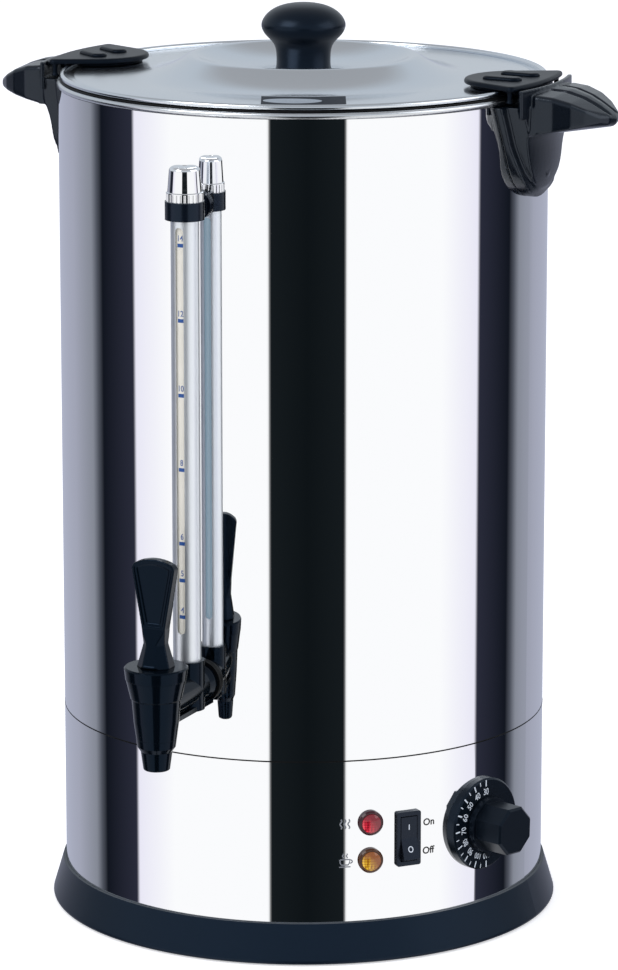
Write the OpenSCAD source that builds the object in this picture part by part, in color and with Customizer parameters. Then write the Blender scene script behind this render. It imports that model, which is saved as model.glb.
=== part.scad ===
// Double-walled hot water urn with a tap, a sight gauge, a thermostat and a twist lock lid.
// The origin is on the urn's axis where it stands. Z points up, the tap faces -Y,
// and the handles are on the X axis. Azimuths run from -Y towards +X.

/* [Body] */
// Outside radius of the polished wall
body_r = 137; // [132:0.5:145]
// Thickness of the sheet steel
sheet_t = 0.8; // [0.5:0.1:1.1]
// Air gap between the outer wall and the tank
air_gap = 11.2; // [10:0.2:13]
// Height of the seam between the lower band and the outer wall
seam_z = 114.8; // [108:0.2:125]
// Width of the dark groove at the seam
seam_gap = 0.8; // [0.5:0.1:1.2]
// Height of the tank's rim
rim_z = 472.5; // [440:0.5:500]
// Diameter of the rolled bead on the tank's rim
rim_bead_d = 3.5; // [3:0.1:4]
// Height of the tank floor above the seam
floor_rise = 3.2; // [2:0.2:6]

/* [Base] */
// Height of the black base ring
base_h = 22.6; // [20:0.2:28]
// How far the foot of the base ring stands out past the wall
base_flare = 7.6; // [6:0.2:12]
// How far the top of the base ring stands out past the wall
base_lip = 1.7; // [1.2:0.1:2.5]
// How far the non-slip ring stands out below the base ring
skid_proud = 0.6; // [0.4:0.1:1]
// Width of the non-slip ring
skid_w = 5; // [4:0.5:6]
// Distance from the wall in to the circle of base plate screws
base_screw_in = 10; // [9:0.5:13]

/* [Lid] */
// Diameter of the lid's rolled bead
lid_bead_d = 3.2; // [2.8:0.1:3.6]
// Thickness of the gasket under the lid
gasket_t = 1; // [0.8:0.1:1.5]
// Width of the channel inside the lid's bead
channel_w = 6; // [5:0.5:8]
// Radius of the ridge round the lid's dished middle
ridge_r = 62; // [50:1:70]
// Height of the ridge above the seat of the knob
ridge_rise = 9.6; // [6:0.2:11]
// Radius of the flat seat of the knob
seat_r = 22; // [19:0.5:26]
// Rise of the knob's seat above the lid's edge
crown_rise = 1.4; // [1:0.1:3]
// Depth of the locating skirt inside the tank
skirt_depth = 10; // [6:0.5:14]
// Diameter of the lid knob
knob_d = 47; // [42:1:52]
// Height of the lid knob above the lid
knob_h = 38.3; // [34:0.1:44]
// Diameter of the lid knob's neck
knob_neck_d = 30.6; // [26:0.2:32]

/* [Lid locks] */
// How far the lock plates reach out past the wall
lock_reach = 8.5; // [7.5:0.1:9.5]
// Half angle that a lock plate spans
lock_half = 15.5; // [14.5:0.1:16.5]
// Radius of the rounded inner end of a lock plate
lock_nose_r = 30; // [26:0.5:34]
// Distance from the wall in to the inner end of a lock plate
lock_nose_in = 38; // [33:0.5:41]
// Height of the top of a lock plate above the lid's channel
lock_rise = 5.7; // [5.5:0.1:6.5]
// Thickness of a lock plate
lock_t = 3; // [2.6:0.1:3.2]
// Turn that locks the lid, in degrees
lock_turn = 13.5; // [13:0.1:14]

/* [Handles] */
// How far a handle's tip stands out from the wall
handle_reach = 49; // [43:0.5:58]
// Half width of the handle's wing at its root
wing_half = 30; // [27:0.5:33]
// Height of the wing's root top above the rim
wing_rise = 3.4; // [2.5:0.1:3.7]
// Drop of the wing's top from root to tip
wing_drop = 14; // [12:0.5:15]
// Thickness of the wing at its root
wing_t = 23.5; // [22:0.5:25]
// Height of the shield below the rim
shield_h = 57.5; // [54:0.5:66]
// Half width of the shield at its top
shield_half = 41; // [39:0.5:43]
// Radius of the shield's rounded bottom
shield_r = 30.5; // [28:0.5:32]
// How far the shield's raised middle stands out from the wall
shield_out = 13.2; // [11:0.2:13.5]
// Gap between a lock plate and the upright lip
lip_gap = 2.7; // [2.4:0.1:3.1]
// Thickness of the upright lip
lip_t = 2.4; // [2:0.1:3]
// Half angle that the lip spans
lip_half = 14.5; // [13.5:0.1:15]

/* [Tap] */
// Distance from the wall to the tap's axis
tap_reach = 57.5; // [54:0.5:62]
// Height of the shank's axis
shank_z = 158; // [154:0.5:165]
// Radius of the shank's threaded tube
shank_r = 8.5; // [8:0.1:9]
// Radius of the tap's bonnet
bonnet_r = 17.3; // [16.5:0.1:18.5]
// Height of the bonnet's top above the shank's axis
bonnet_rise = 22; // [21:0.5:24]
// Height of the bonnet's skirt
bonnet_h = 7; // [6:0.5:7.5]
// Outside radius of the spout at its mouth
spout_r = 7.3; // [6.8:0.1:8]
// Radius of the spout's bore
spout_bore_r = 4.8; // [4:0.1:5.2]
// Depth of the spout's mouth below the shank's axis
spout_drop = 35.5; // [33:0.5:40]
// Distance from the lever's axis to the flats of its foot
foot_r = 9.6; // [9:0.1:10]
// Radius of the lever's waist
waist_r = 6.2; // [5.8:0.1:6.8]
// Height of the lever above the bonnet
lever_h = 59.4; // [54:0.2:66]
// Width of the lever's paddle at its arched top
paddle_w = 25; // [22:0.5:28]
// Radius of the tap's stem
stem_r = 2.5; // [2.2:0.1:2.8]
// Radius of the lever's pin
lever_pin_r = 1.2; // [1:0.1:1.4]

/* [Gauge] */
// Distance from the wall to the gauge's axis
gauge_reach = 18.5; // [17.5:0.1:22]
// Outside diameter of the guard tube
guard_d = 15.3; // [14.8:0.1:16]
// Wall of the guard tube
guard_t = 1; // [0.8:0.1:1.2]
// Outside diameter of the glass tube
glass_d = 12; // [11:0.1:12.4]
// Wall of the glass tube
glass_t = 1.2; // [1:0.1:1.6]
// Depth of the guard tube's top below the rim
guard_below_rim = 41.5; // [38:0.5:46]
// Width of the guard tube's slots
slot_w = 4.75; // [4:0.25:6]
// Distance from the guard's foot to the slot
slot_foot = 17.2; // [14:0.2:24]
// Distance from the slot to the guard's top
slot_head = 18.1; // [17:0.1:24]
// Height of the clip bracket's ring
bracket_h = 9.9; // [8:0.1:11]
// Wall of the clip bracket's ring
bracket_t = 3; // [2.4:0.1:3.4]
// Diameter of the cap's fluted band
cap_d = 19.9; // [19:0.1:21]
// Diameter of the cap near its top
cap_top_d = 16.7; // [16:0.1:18]
// Height of the cap
cap_h = 19.1; // [18:0.1:22]

/* [Controls] */
// Azimuth of the pilot lamps
lamp_az = 39.5; // [36:0.5:41]
// Height of the upper lamp
lamp_top_z = 79; // [76:0.5:84]
// Distance between the two lamps
lamp_pitch = 21.5; // [18:0.5:24]
// Diameter of a lamp's bezel
lamp_d = 14; // [12:0.5:16]
// Azimuth of the rocker switch
switch_az = 48.7; // [47:0.1:50]
// Height of the switches' and the dial's centres
control_z = 68; // [64:0.2:72]
// Length of the rocker switch's bezel
switch_l = 31; // [30:0.5:33]
// Width of the rocker switch's bezel
switch_w = 14.5; // [13.8:0.1:15]
// Tilt of the rocker from its middle, in degrees
rocker_tilt = 10; // [8:0.5:11]
// Azimuth of the thermostat
dial_az = 70.2; // [69:0.1:74]
// Radius of the dial plate
dial_r = 26; // [24:0.5:28]
// Height of the dial's face above the wall
dial_t = 3.8; // [3.4:0.1:5]
// Distance from the knob's axis to its corners
grip_r = 14.1; // [13:0.1:15]
// Height of the knob above the dial's face
grip_h = 22; // [19:0.5:24]
// Direction of the knob's pointer, anticlockwise from the right, in degrees
pointer_deg = 268; // [180:1:360]
// Radius of the thermostat's shaft
shaft_r = 3; // [2.8:0.1:3.2]
// Radius of the thermostat's threaded bush
bush_r = 4.5; // [4.2:0.1:4.8]

/* [Inlet] */
// Azimuth of the mains inlet
inlet_az = 180; // [150:5:210]
// Height of the mains inlet's centre
inlet_z = 62; // [58:0.5:70]
// Height of the inlet's flange
inlet_l = 50; // [49:0.5:54]
// Width of the inlet's flange
inlet_w = 22.5; // [22:0.1:24]

/* [Heater] */
// Radius of the heating plate
plate_r = 75; // [68:1:85]
// Thickness of the heating plate
plate_t = 4; // [3:0.5:5]
// Radius of the heating element's ring
element_ring_r = 58; // [52:1:62]
// Radius of the heating element's tube
element_r = 4; // [3.2:0.1:4.4]

/* [Screws] */
// Radius of the handle, bracket and base screws
screw_r = 2; // [1.8:0.1:2.2]
// Running clearance round a shaft, a pin or a stem
run_gap = 0.06; // [0.04:0.01:0.08]
// Clearance of a seated part from a curved wall
seat_gap = 0.05; // [0.03:0.01:0.1]

/* [Hidden] */
$fn = 96;
tiny = 0.01;

// walls
inner_r = body_r - sheet_t;
tank_r = inner_r - air_gap;
tank_in_r = tank_r - sheet_t;
tank_floor_z = seam_z + floor_rise;
tank_bottom_z = tank_floor_z - sheet_t;
tank_corner_r = 6;
bead_r = rim_bead_d / 2;
rim_bead_c = inner_r;
shell_top_z = rim_z - rim_bead_d;
joggle_h = 8;
joggle_gap = 0.2;

// base ring
base_screw_r = body_r - base_screw_in;
ring_t = 2.4;
band_seat_z = 12;
base_bottom_r = body_r + base_flare;
base_top_r = body_r + base_lip;
band_out_r = body_r + 0.1;
band_in_r = inner_r - 0.1;
foot_in_r = body_r - 5.5;
skid_in_r = foot_in_r + 2.5;
skid_depth = 2;
plate_z = 2.2;
ring_flange_t = 3;
ring_flange_in_r = base_screw_r - 5;
boss_h = 6;

// lid, from the rim upwards
gasket_r = inner_r - 0.1;
lid_z = rim_z + gasket_t;
lid_bead_r = lid_bead_d / 2;
lid_r = body_r - 0.9;
lid_bead_c = lid_r - lid_bead_r;
channel_in_r = lid_bead_c - channel_w;
crown_z = lid_z + 1.5;
plateau_z = crown_z + crown_rise;
ridge_z = plateau_z + ridge_rise;
ridge_bend = 7;
skirt_r = tank_in_r - 1;
knob_neck_r = knob_neck_d / 2;
knob_r = knob_d / 2;

// lid locks
lock_r = body_r + lock_reach;
lock_nose = body_r - lock_nose_in;
lip_r = lock_r + lip_gap;
lock_z = lid_z + sheet_t + lock_rise;
lock_under_z = lock_z - lock_t;
post_rho = lock_r - 3.5;
post_half = lock_half - 1.2;
post_r = 1.5;
post_z = rim_z - 2.1;
tongue_t = 1.8;
tongue_z = rim_z + 0.3;
hook_z = tongue_z + tongue_t + 0.4;
hook_t = 1.6;
hook_from = 2.5;
hook_to = 11;
tongue_from = hook_from - 0.2 - lock_turn;
tongue_to = hook_to + 0.3 - lock_turn;

// handles
handle_tip = body_r + handle_reach;
saddle_top_z = rim_z - 4;
shield_z = rim_z - shield_h;
shield_inset = 5;
flange_out = 4;
wing_x = lip_r;
wing_top_z = rim_z + wing_rise + 0.6;
wing_edge_r = 2.5;
wing_crown_r = 9;
lip_top_z = rim_z + 5.5;
handle_screw_zs = [rim_z - 42, rim_z - 16];
pan_t = 2.4;
pan_r = 1.9 * screw_r;

// tap
tap_rho = body_r + tap_reach;
bonnet_z = shank_z + bonnet_rise;
cup_top_z = bonnet_z - bonnet_h;
spout_z = shank_z - spout_drop;
spout_top_z = spout_z + 10.5;
seat_z = shank_z - 18;
shank_bore_r = 5;
shoulder_out = 2.4;
chamber_r = 9.5;
neck_r = 12.5;
pin_rise = 3.4;
lever_pin_half = foot_r - 2.4;
toe_r = 1;
toe_l = 7;
eye_t = 3;
waist_z = bonnet_z + 13;
panel_edge = 1.3;
panel_step = 0.5;
back_rise = 20;
rib_pitch = 2.4;
wall_nut_t = 5.5;
seal_t = 2;

// gauge
gauge_rho = body_r + gauge_reach;
guard_r = guard_d / 2;
glass_r = glass_d / 2;
socket_r = 9.5;
socket_top_z = shank_z + 14.8;
glass_seat_z = socket_top_z - 10;
guard_top_z = rim_z - guard_below_rim;
bracket_top_z = guard_top_z - 4.6;
bracket_z = bracket_top_z - bracket_h;
bracket_r = guard_r + bracket_t;
cap_z = bracket_top_z;
cap_top_z = cap_z + cap_h;
glass_top_z = guard_top_z + 5;

// controls
switch_box_w = switch_w - 2.5;
switch_box_l = switch_l - 4;
rocker_r = switch_l / 2 - 2.9;
rocker_w = switch_box_w - 2.4;
switch_flange_t = 2;
switch_depth = 20;
lamp_hole_r = 5.1;
lamp_zs = [lamp_top_z, lamp_top_z - lamp_pitch];
knob_gap = 0.4;
thermostat_w = 40;
thermostat_back = 26;

// inlet
inlet_cut_l = 27.6;
inlet_cut_w = 20;
inlet_flange_t = 3;
inlet_depth = 17;
inlet_pitch = 40;

// puts a part at an azimuth, a distance from the axis and a height
module around(az, rho, z) {
    rotate([0, 0, az]) translate([0, -rho, z]) children();
}

// turns a part so that its Z points straight out of the wall, X to the right and Y up
module on_wall(az, z, rho = body_r) {
    around(az, rho, z) rotate([90, 0, 0]) children();
}

module tap_axis() {
    translate([0, -tap_rho, 0]) children();
}

module gauge_axis() {
    translate([0, -gauge_rho, 0]) children();
}

module tube(r_out, r_in, h) {
    difference() {
        cylinder(r = r_out, h = h);
        translate([0, 0, -1]) cylinder(r = r_in, h = h + 2);
    }
}

// keeps only what lies outside the wall's radius
module outside_wall(r = body_r + seat_gap) {
    difference() {
        children();
        cylinder(r = r, h = rim_z * 2, center = true, $fn = 180);
    }
}

// a stretch of ring about +X
module ring_arc(r1, r2, z1, z2, from, to) {
    rotate([0, 0, from]) rotate_extrude(angle = to - from, $fn = 180)
        translate([r1, z1]) square([r2 - r1, z2 - z1]);
}

// a plate with round corners
module round_plate(size, r, t) {
    linear_extrude(t) hull() {
        for (x = [-1, 1], y = [-1, 1])
            translate([x * (size.x / 2 - r), y * (size.y / 2 - r)]) circle(r, $fn = 32);
    }
}

// points along an arc
function arc(c, r, a0, a1, n = 12) =
    [for (i = [0:n]) let (a = a0 + (a1 - a0) * i / n) c + r * [cos(a), sin(a)]];

// a list from its end to its start
function reversed(list) = [for (i = [len(list) - 1:-1:0]) list[i]];

// where the tangent from a point touches a circle about the origin
function tangent_point(p, r) =
    let (a = atan2(p.y, p.x) - acos(r / norm(p))) r * [cos(a), sin(a)];

// Base
module base_ring() {
    foot = 2;
    color("#15161a") difference() {
        union() {
            rotate_extrude($fn = 180) difference() {
                polygon(concat(
                    [[foot_in_r, skid_proud]],
                    arc([base_bottom_r - foot, skid_proud + foot], foot, -90, 10, 6),
                    [[base_top_r, base_h], [band_in_r - ring_t, base_h],
                        [band_in_r - ring_t, plate_z + 2 * ring_flange_t],
                     [ring_flange_in_r, plate_z + sheet_t + ring_flange_t],
                         [ring_flange_in_r, plate_z + sheet_t],
                     [foot_in_r, plate_z + sheet_t]]));
                translate([band_in_r, band_seat_z]) square([band_out_r - band_in_r, base_h]);
                translate([0, base_h - 2.5]) square([band_in_r + tiny, base_h]);
                translate([skid_in_r, 0]) square([skid_w, skid_proud + skid_depth]);
            }
            for (a = [45:90:315]) around(a, base_screw_r, plate_z + sheet_t + tiny)
                cylinder(r = 2 * screw_r, h = boss_h);
        }
        for (a = [45:90:315]) around(a, base_screw_r, 0) cylinder(r = screw_r + seat_gap, h = 30);
    }
}

module skid_ring() {
    color("#2a2a2c") rotate_extrude($fn = 180)
        translate([skid_in_r + seat_gap, 0]) square([skid_w - 2 * seat_gap, skid_proud + skid_depth]);
}

module base_plate() {
    color("silver") translate([0, 0, plate_z]) difference() {
        cylinder(r = foot_in_r - 0.3, h = sheet_t, $fn = 180);
        for (a = [45:90:315]) around(a, base_screw_r, -1) cylinder(r = screw_r + 0.3, h = 3);
        for (a = [0:30:330], i = [0:2]) around(a, 60 + 14 * i, 0) {
            translate([-8, -1.5, -1]) cube([16, 3, 3]);
            for (s = [-8, 8]) translate([s, 0, -1]) cylinder(r = 1.5, h = 3, $fn = 24);
        }
    }
}

module base_screws() {
    color("gray") for (a = [45:90:315]) around(a, base_screw_r, plate_z)
        pan_screw_short();
}

// the base plate's screws have low heads that stay clear of the floor
module pan_screw_short() {
    head = 1.5;
    translate([0, 0, -head]) cylinder(r = 1.9 * screw_r, h = head);
    translate([0, 0, -tiny]) cylinder(r = screw_r, h = sheet_t + boss_h - 1);
}

// Walls
module lower_band() {
    top_z = seam_z - seam_gap / 2;
    joggle_r = inner_r - joggle_gap;
    color("#d8dade") difference() {
        rotate_extrude($fn = 180) {
            translate([inner_r, band_seat_z]) square([sheet_t, top_z - band_seat_z]);
            translate([joggle_r - sheet_t, top_z - 2 * sheet_t]) square([sheet_t, joggle_h]);
            translate([joggle_r - sheet_t, top_z - 2 * sheet_t])
                square([sheet_t + joggle_gap + tiny, sheet_t]);
        }
        for (z = lamp_zs) on_wall(lamp_az, z, body_r + 5) mirror([0, 0, 1])
            cylinder(r = lamp_hole_r, h = 15);
        on_wall(switch_az, control_z, body_r)
            cube([switch_box_w + 0.4, switch_box_l + 0.4, 20], center = true);
        on_wall(dial_az, control_z, body_r + 5) mirror([0, 0, 1]) cylinder(r = bush_r + 0.2, h = 15);
        on_wall(inlet_az, inlet_z, body_r) {
            cube([inlet_cut_w + 0.4, inlet_cut_l + 0.4, 20], center = true);
            for (s = [-1, 1]) translate([0, s * inlet_pitch / 2, -10]) cylinder(r = 1.7, h = 20);
        }
    }
}

module outer_wall() {
    low_z = seam_z + seam_gap / 2;
    color("#e4e6ea") difference() {
        translate([0, 0, low_z]) tube_wall(body_r, inner_r, shell_top_z - low_z);
        on_wall(0, shank_z, body_r + 5) mirror([0, 0, 1]) cylinder(r = shank_r + 0.4, h = 15);
        on_wall(0, bracket_z + bracket_h / 2, body_r + 5) mirror([0, 0, 1])
            cylinder(r = screw_r + 0.2, h = 15);
        for (az = [-90, 90], z = handle_screw_zs)
            on_wall(az, z, body_r + 5) mirror([0, 0, 1]) cylinder(r = screw_r + 0.2, h = 15);
    }
}

module tube_wall(r_out, r_in, h) {
    rotate_extrude($fn = 180) translate([r_in, 0]) square([r_out - r_in, h]);
}

module tank() {
    color("#c9ccd1") difference() {
        rotate_extrude($fn = 180) {
            difference() {
                union() {
                    translate([0, tank_bottom_z]) square([tank_r - tank_corner_r, rim_z - tank_bottom_z]);
                    translate([0, tank_bottom_z + tank_corner_r])
                        square([tank_r, rim_z - tank_bottom_z - tank_corner_r]);
                    translate([tank_r - tank_corner_r, tank_bottom_z + tank_corner_r])
                        circle(tank_corner_r, $fn = 48);
                }
                union() {
                    in_corner = tank_corner_r - sheet_t;
                    translate([-1, tank_floor_z]) square([tank_in_r - in_corner + 1, rim_z]);
                    translate([0, tank_floor_z + in_corner]) square([tank_in_r, rim_z]);
                    translate([tank_in_r - in_corner, tank_floor_z + in_corner]) circle(in_corner, $fn = 48);
                }
                translate([-10, 0]) square([10, rim_z * 2]);
            }
            translate([tank_in_r, rim_z - sheet_t]) square([rim_bead_c - tank_in_r, sheet_t]);
            translate([rim_bead_c, rim_z - bead_r]) circle(bead_r, $fn = 48);
        }
        on_wall(0, shank_z, body_r) mirror([0, 0, 1]) cylinder(r = shank_r + 0.2, h = 30);
    }
}

// Heating and control parts inside the base
module heater_plate() {
    color("#b8bcc2") translate([0, 0, tank_bottom_z - plate_t]) cylinder(r = plate_r, h = plate_t);
}

module heater_element() {
    z = tank_bottom_z - plate_t - element_r;
    gap = 30;
    cold_end = 16;
    color("#8d8f94") {
        translate([0, 0, z]) rotate([0, 0, 90 + gap / 2]) rotate_extrude(angle = 360 - gap)
            translate([element_ring_r, 0]) circle(element_r, $fn = 48);
        for (s = [-1, 1]) rotate([0, 0, 90 + s * gap / 2]) translate([element_ring_r, 0, z]) {
            translate([0, 0, -element_r - 2]) cylinder(r = element_r + 0.9, h = 2 * element_r + 1.8);
            translate([0, 0, -cold_end]) cylinder(r = element_r - 0.6, h = cold_end);
            translate([-0.4, -2.8, -cold_end - 8]) cube([0.8, 5.6, 8 + tiny]);
        }
    }
}

module thermal_cutouts() {
    top_z = tank_bottom_z - plate_t;
    color("#2b2d31") for (s = [-1, 1]) translate([s * 22, 0, top_z - 9]) {
        cylinder(r = 8, h = 9);
        for (t = [-1, 1]) translate([-0.4, t * 4 - 1.6, -7]) cube([0.8, 3.2, 7 + tiny]);
    }
}

module thermostat_body() {
    neck_out = dial_t + 3.6;
    back = thermostat_back;
    seat = body_r - 4.2;
    color("#e7e2d6") on_wall(dial_az, control_z) difference() {
        union() {
            translate([-thermostat_w / 2, -thermostat_w / 2, -back])
                cube([thermostat_w, thermostat_w, back - (body_r - seat)]);
            translate([0, 0, -back]) cylinder(r = bush_r, h = back + neck_out);
            for (s = [-1, 1]) translate([s * 12 - 3.2, -thermostat_w / 2 - 8, -back + 4])
                cube([6.4, 8 + tiny, 0.8]);
        }
        translate([0, 0, -back + 6]) cylinder(r = shaft_r + run_gap, h = back + 20);
    }
}

module thermostat_nut() {
    color("silver") on_wall(dial_az, control_z) translate([0, 0, dial_t]) difference() {
        cylinder(r = 7.2, h = 2.4, $fn = 6);
        translate([0, 0, -1]) cylinder(r = bush_r + seat_gap, h = 5);
    }
}

// the feeler lies against the heating plate, and its capillary runs under the element to the thermostat
module thermostat_bulb() {
    feeler_r = 3;
    line_r = 0.9;
    bulb_z = tank_bottom_z - plate_t - feeler_r;
    low_z = bulb_z - 10;
    start = [22, 12];
    end = (body_r - thermostat_back + 6) * [sin(dial_az), -cos(dial_az)];
    run = end - start;
    end_z = control_z + thermostat_w / 2;
    color("#b87333") {
        translate([0, start.y, bulb_z]) rotate([0, 90, 0])
            cylinder(r = feeler_r, h = 52, center = true, $fn = 48);
        translate([start.x, start.y, low_z]) cylinder(r = line_r, h = bulb_z - low_z, $fn = 32);
        translate([start.x, start.y, low_z - 1.6]) cylinder(r = 1.7 * line_r, h = 3.2, $fn = 32);
        translate([start.x, start.y, low_z]) rotate([0, 90, atan2(run.y, run.x)])
            cylinder(r = line_r, h = norm(run), $fn = 32);
        translate([end.x, end.y, low_z - 1.6]) cylinder(r = 1.7 * line_r, h = 3.2, $fn = 32);
        translate([end.x, end.y, end_z]) cylinder(r = line_r, h = low_z - end_z, $fn = 32);
    }
}

module terminal_block() {
    size = [46, 22, 16];
    color("#efeae0") translate([-size.x / 2, 74, plate_z + sheet_t]) difference() {
        cube(size);
        for (i = [0:2]) translate([8 + 15 * i, -1, 9]) rotate([-90, 0, 0])
            cylinder(r = 2.6, h = size.y + 2, $fn = 48);
        for (i = [0:2], y = [6, 16]) translate([8 + 15 * i, y, 9]) cylinder(r = 2, h = 10, $fn = 48);
    }
}

// Controls on the lower band
module dial_plate() {
    edge = 1;
    color("#101114") outside_wall() on_wall(dial_az, control_z, body_r) difference() {
        union() {
            translate([0, 0, -8]) cylinder(r = dial_r, h = 8 + dial_t - edge);
            translate([0, 0, dial_t - edge - tiny])
                cylinder(r1 = dial_r, r2 = dial_r - edge, h = edge + tiny);
        }
        translate([0, 0, -9]) cylinder(r = bush_r + 0.1, h = 20);
    }
}

module thermostat_knob() {
    collar_r = grip_r + 1.4;
    collar_h = 4;
    edge = 1.2;
    color("#0c0d10") on_wall(dial_az, control_z) translate([0, 0, dial_t + knob_gap]) difference() {
        union() {
            cylinder(r = collar_r, h = collar_h);
            rotate([0, 0, pointer_deg]) linear_extrude(collar_h - 1.2)
                polygon([[collar_r - 1, -2.6], [collar_r + 3.2, 0], [collar_r - 1, 2.6]]);
            rotate([0, 0, pointer_deg + 22.5]) {
                translate([0, 0, collar_h - tiny])
                    cylinder(r = grip_r, h = grip_h - knob_gap - collar_h - edge, $fn = 8);
                translate([0, 0, grip_h - knob_gap - edge - 2 * tiny])
                    cylinder(r1 = grip_r, r2 = grip_r - edge, h = edge, $fn = 8);
            }
        }
        translate([0, 0, -1]) cylinder(r = 9, h = 5.4);
        translate([0, 0, 1]) cylinder(r = shaft_r + seat_gap, h = grip_h - 6);
    }
}

module thermostat_shaft() {
    low = -thermostat_back + 6.4;
    top = dial_t + grip_h - 6;
    color("#c9c9c9") on_wall(dial_az, control_z) difference() {
        translate([0, 0, low]) cylinder(r = shaft_r, h = top - low);
        translate([shaft_r * 0.5, -shaft_r, dial_t + 8]) cube([shaft_r, 2 * shaft_r, grip_h]);
    }
}

module switch_housing() {
    color("#0e0f12") difference() {
        on_wall(switch_az, control_z) difference() {
            union() {
                translate([0, 0, -0.6]) round_plate([switch_w, switch_l], 1.2, switch_flange_t + 0.6);
                translate([-switch_box_w / 2, -switch_box_l / 2, -switch_depth])
                    cube([switch_box_w, switch_box_l, switch_depth]);
            }
            translate([-rocker_w / 2 - 0.3, -rocker_r - 0.3, -10])
                cube([rocker_w + 0.6, 2 * rocker_r + 0.6, 20]);
            rotate([0, 90, 0]) cylinder(r = 1.2 + run_gap, h = rocker_w + 2, center = true, $fn = 32);
        }
        difference() {
            cylinder(r = body_r + seat_gap, h = rim_z, $fn = 180);
            on_wall(switch_az, control_z)
                cube([switch_box_w, switch_box_l, 2 * switch_depth + 1], center = true);
        }
    }
}

module switch_terminals() {
    color("#c8a24a") on_wall(switch_az, control_z)
        for (y = [-9, 0, 9]) translate([-2.4, y - 0.4, -switch_depth - 9]) cube([4.8, 0.8, 9]);
}

// the rocker's face is two flats that meet at the middle, and it rests with its upper half pressed in
module rocker() {
    face_z = 2.15;
    color("#08090b") on_wall(switch_az, control_z) rotate([-rocker_tilt, 0, 0]) {
        intersection() {
            rotate([0, 90, 0]) cylinder(r = rocker_r, h = rocker_w, center = true);
            rotate([90, 0, 90]) linear_extrude(rocker_w, center = true) polygon([
                [-rocker_r, -5], [rocker_r, -5],
                [rocker_r, face_z + rocker_r * tan(rocker_tilt)], [0, face_z],
                [-rocker_r, face_z + rocker_r * tan(rocker_tilt)]]);
        }
        rotate([0, 90, 0]) cylinder(r = 1.2, h = rocker_w + 1.6, center = true, $fn = 32);
    }
}

module lamp_body(z) {
    color("#15161a") difference() {
        on_wall(lamp_az, z) difference() {
            union() {
                translate([0, 0, -1]) cylinder(r = lamp_d / 2, h = 2.6);
                translate([0, 0, 1.6 - tiny]) cylinder(r1 = lamp_d / 2, r2 = lamp_d / 2 - 0.8, h = 0.8);
                translate([0, 0, -18]) cylinder(r = lamp_hole_r - 0.1, h = 18);
            }
            translate([0, 0, 0.8]) cylinder(r = lamp_d / 2 - 1.6, h = 8);
            translate([0, 0, -4]) cylinder(r = lamp_hole_r - 1.1, h = 8);
        }
        difference() {
            cylinder(r = body_r + seat_gap, h = rim_z, $fn = 180);
            on_wall(lamp_az, z, body_r + 5) mirror([0, 0, 1]) cylinder(r = lamp_hole_r - 0.1, h = 40);
        }
    }
}

module lamp_lens(z, tint) {
    lens_r = lamp_d / 2 - 1.7;
    dome = 1.4;
    sphere_r = (lens_r * lens_r + dome * dome) / (2 * dome);
    color(tint) on_wall(lamp_az, z) {
        translate([0, 0, -3.9]) cylinder(r = lamp_hole_r - 1.2, h = 5.4);
        intersection() {
            translate([0, 0, 2.8 + dome - sphere_r]) sphere(sphere_r);
            translate([0, 0, 0.85]) cylinder(r = lens_r, h = 5);
        }
    }
}

module red_lamp_body() { lamp_body(lamp_zs[0]); }
module amber_lamp_body() { lamp_body(lamp_zs[1]); }
module red_lamp_lens() { lamp_lens(lamp_zs[0], "#c81e2a"); }
module amber_lamp_lens() { lamp_lens(lamp_zs[1], "#f0a020"); }

// Mains inlet at the back
module power_inlet() {
    socket = [16.4, 24];
    wall = (inlet_cut_w - socket.x) / 2;
    color("#121316") difference() {
        on_wall(inlet_az, inlet_z) difference() {
            union() {
                translate([0, 0, -1]) round_plate([inlet_w, inlet_l], 4, inlet_flange_t + 1);
                translate([-inlet_cut_w / 2, -inlet_cut_l / 2, -inlet_depth])
                    cube([inlet_cut_w, inlet_cut_l, inlet_depth]);
            }
            translate([-socket.x / 2, -socket.y / 2, -inlet_depth + wall])
                cube([socket.x, socket.y, inlet_depth * 2]);
            for (s = [-1, 1]) translate([0, s * inlet_pitch / 2, -2]) {
                cylinder(r = 1.7, h = 8);
                translate([0, 0, 3.4]) cylinder(r = 3.2, h = 5);
            }
            for (p = inlet_pin_places()) translate([p.x, p.y, -inlet_depth - 1])
                cylinder(r = 0.9, h = 5, $fn = 32);
        }
        difference() {
            cylinder(r = body_r + seat_gap, h = rim_z, $fn = 180);
            on_wall(inlet_az, inlet_z) cube([inlet_cut_w, inlet_cut_l, 2 * inlet_depth + 1], center = true);
        }
    }
}

function inlet_pin_places() = [[2, 7], [2, -7], [-2, 0]];

module inlet_pins() {
    color("#d0d2d6") on_wall(inlet_az, inlet_z) for (p = inlet_pin_places()) {
        translate([p.x - 1, p.y - 2, -inlet_depth + 1.8]) cube([2, 4, inlet_depth - 3]);
        translate([p.x, p.y, -inlet_depth - 7]) cylinder(r = 0.85, h = 9, $fn = 32);
    }
}

module inlet_screws() {
    color("silver") on_wall(inlet_az, inlet_z) for (s = [-1, 1]) translate([0, s * inlet_pitch / 2, 1.4]) {
        cylinder(r = 3, h = 1.5);
        translate([0, 0, -9]) cylinder(r = 1.6, h = 9 + tiny);
    }
}

// Handles, drawn on +X with the urn's axis at the origin

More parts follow.
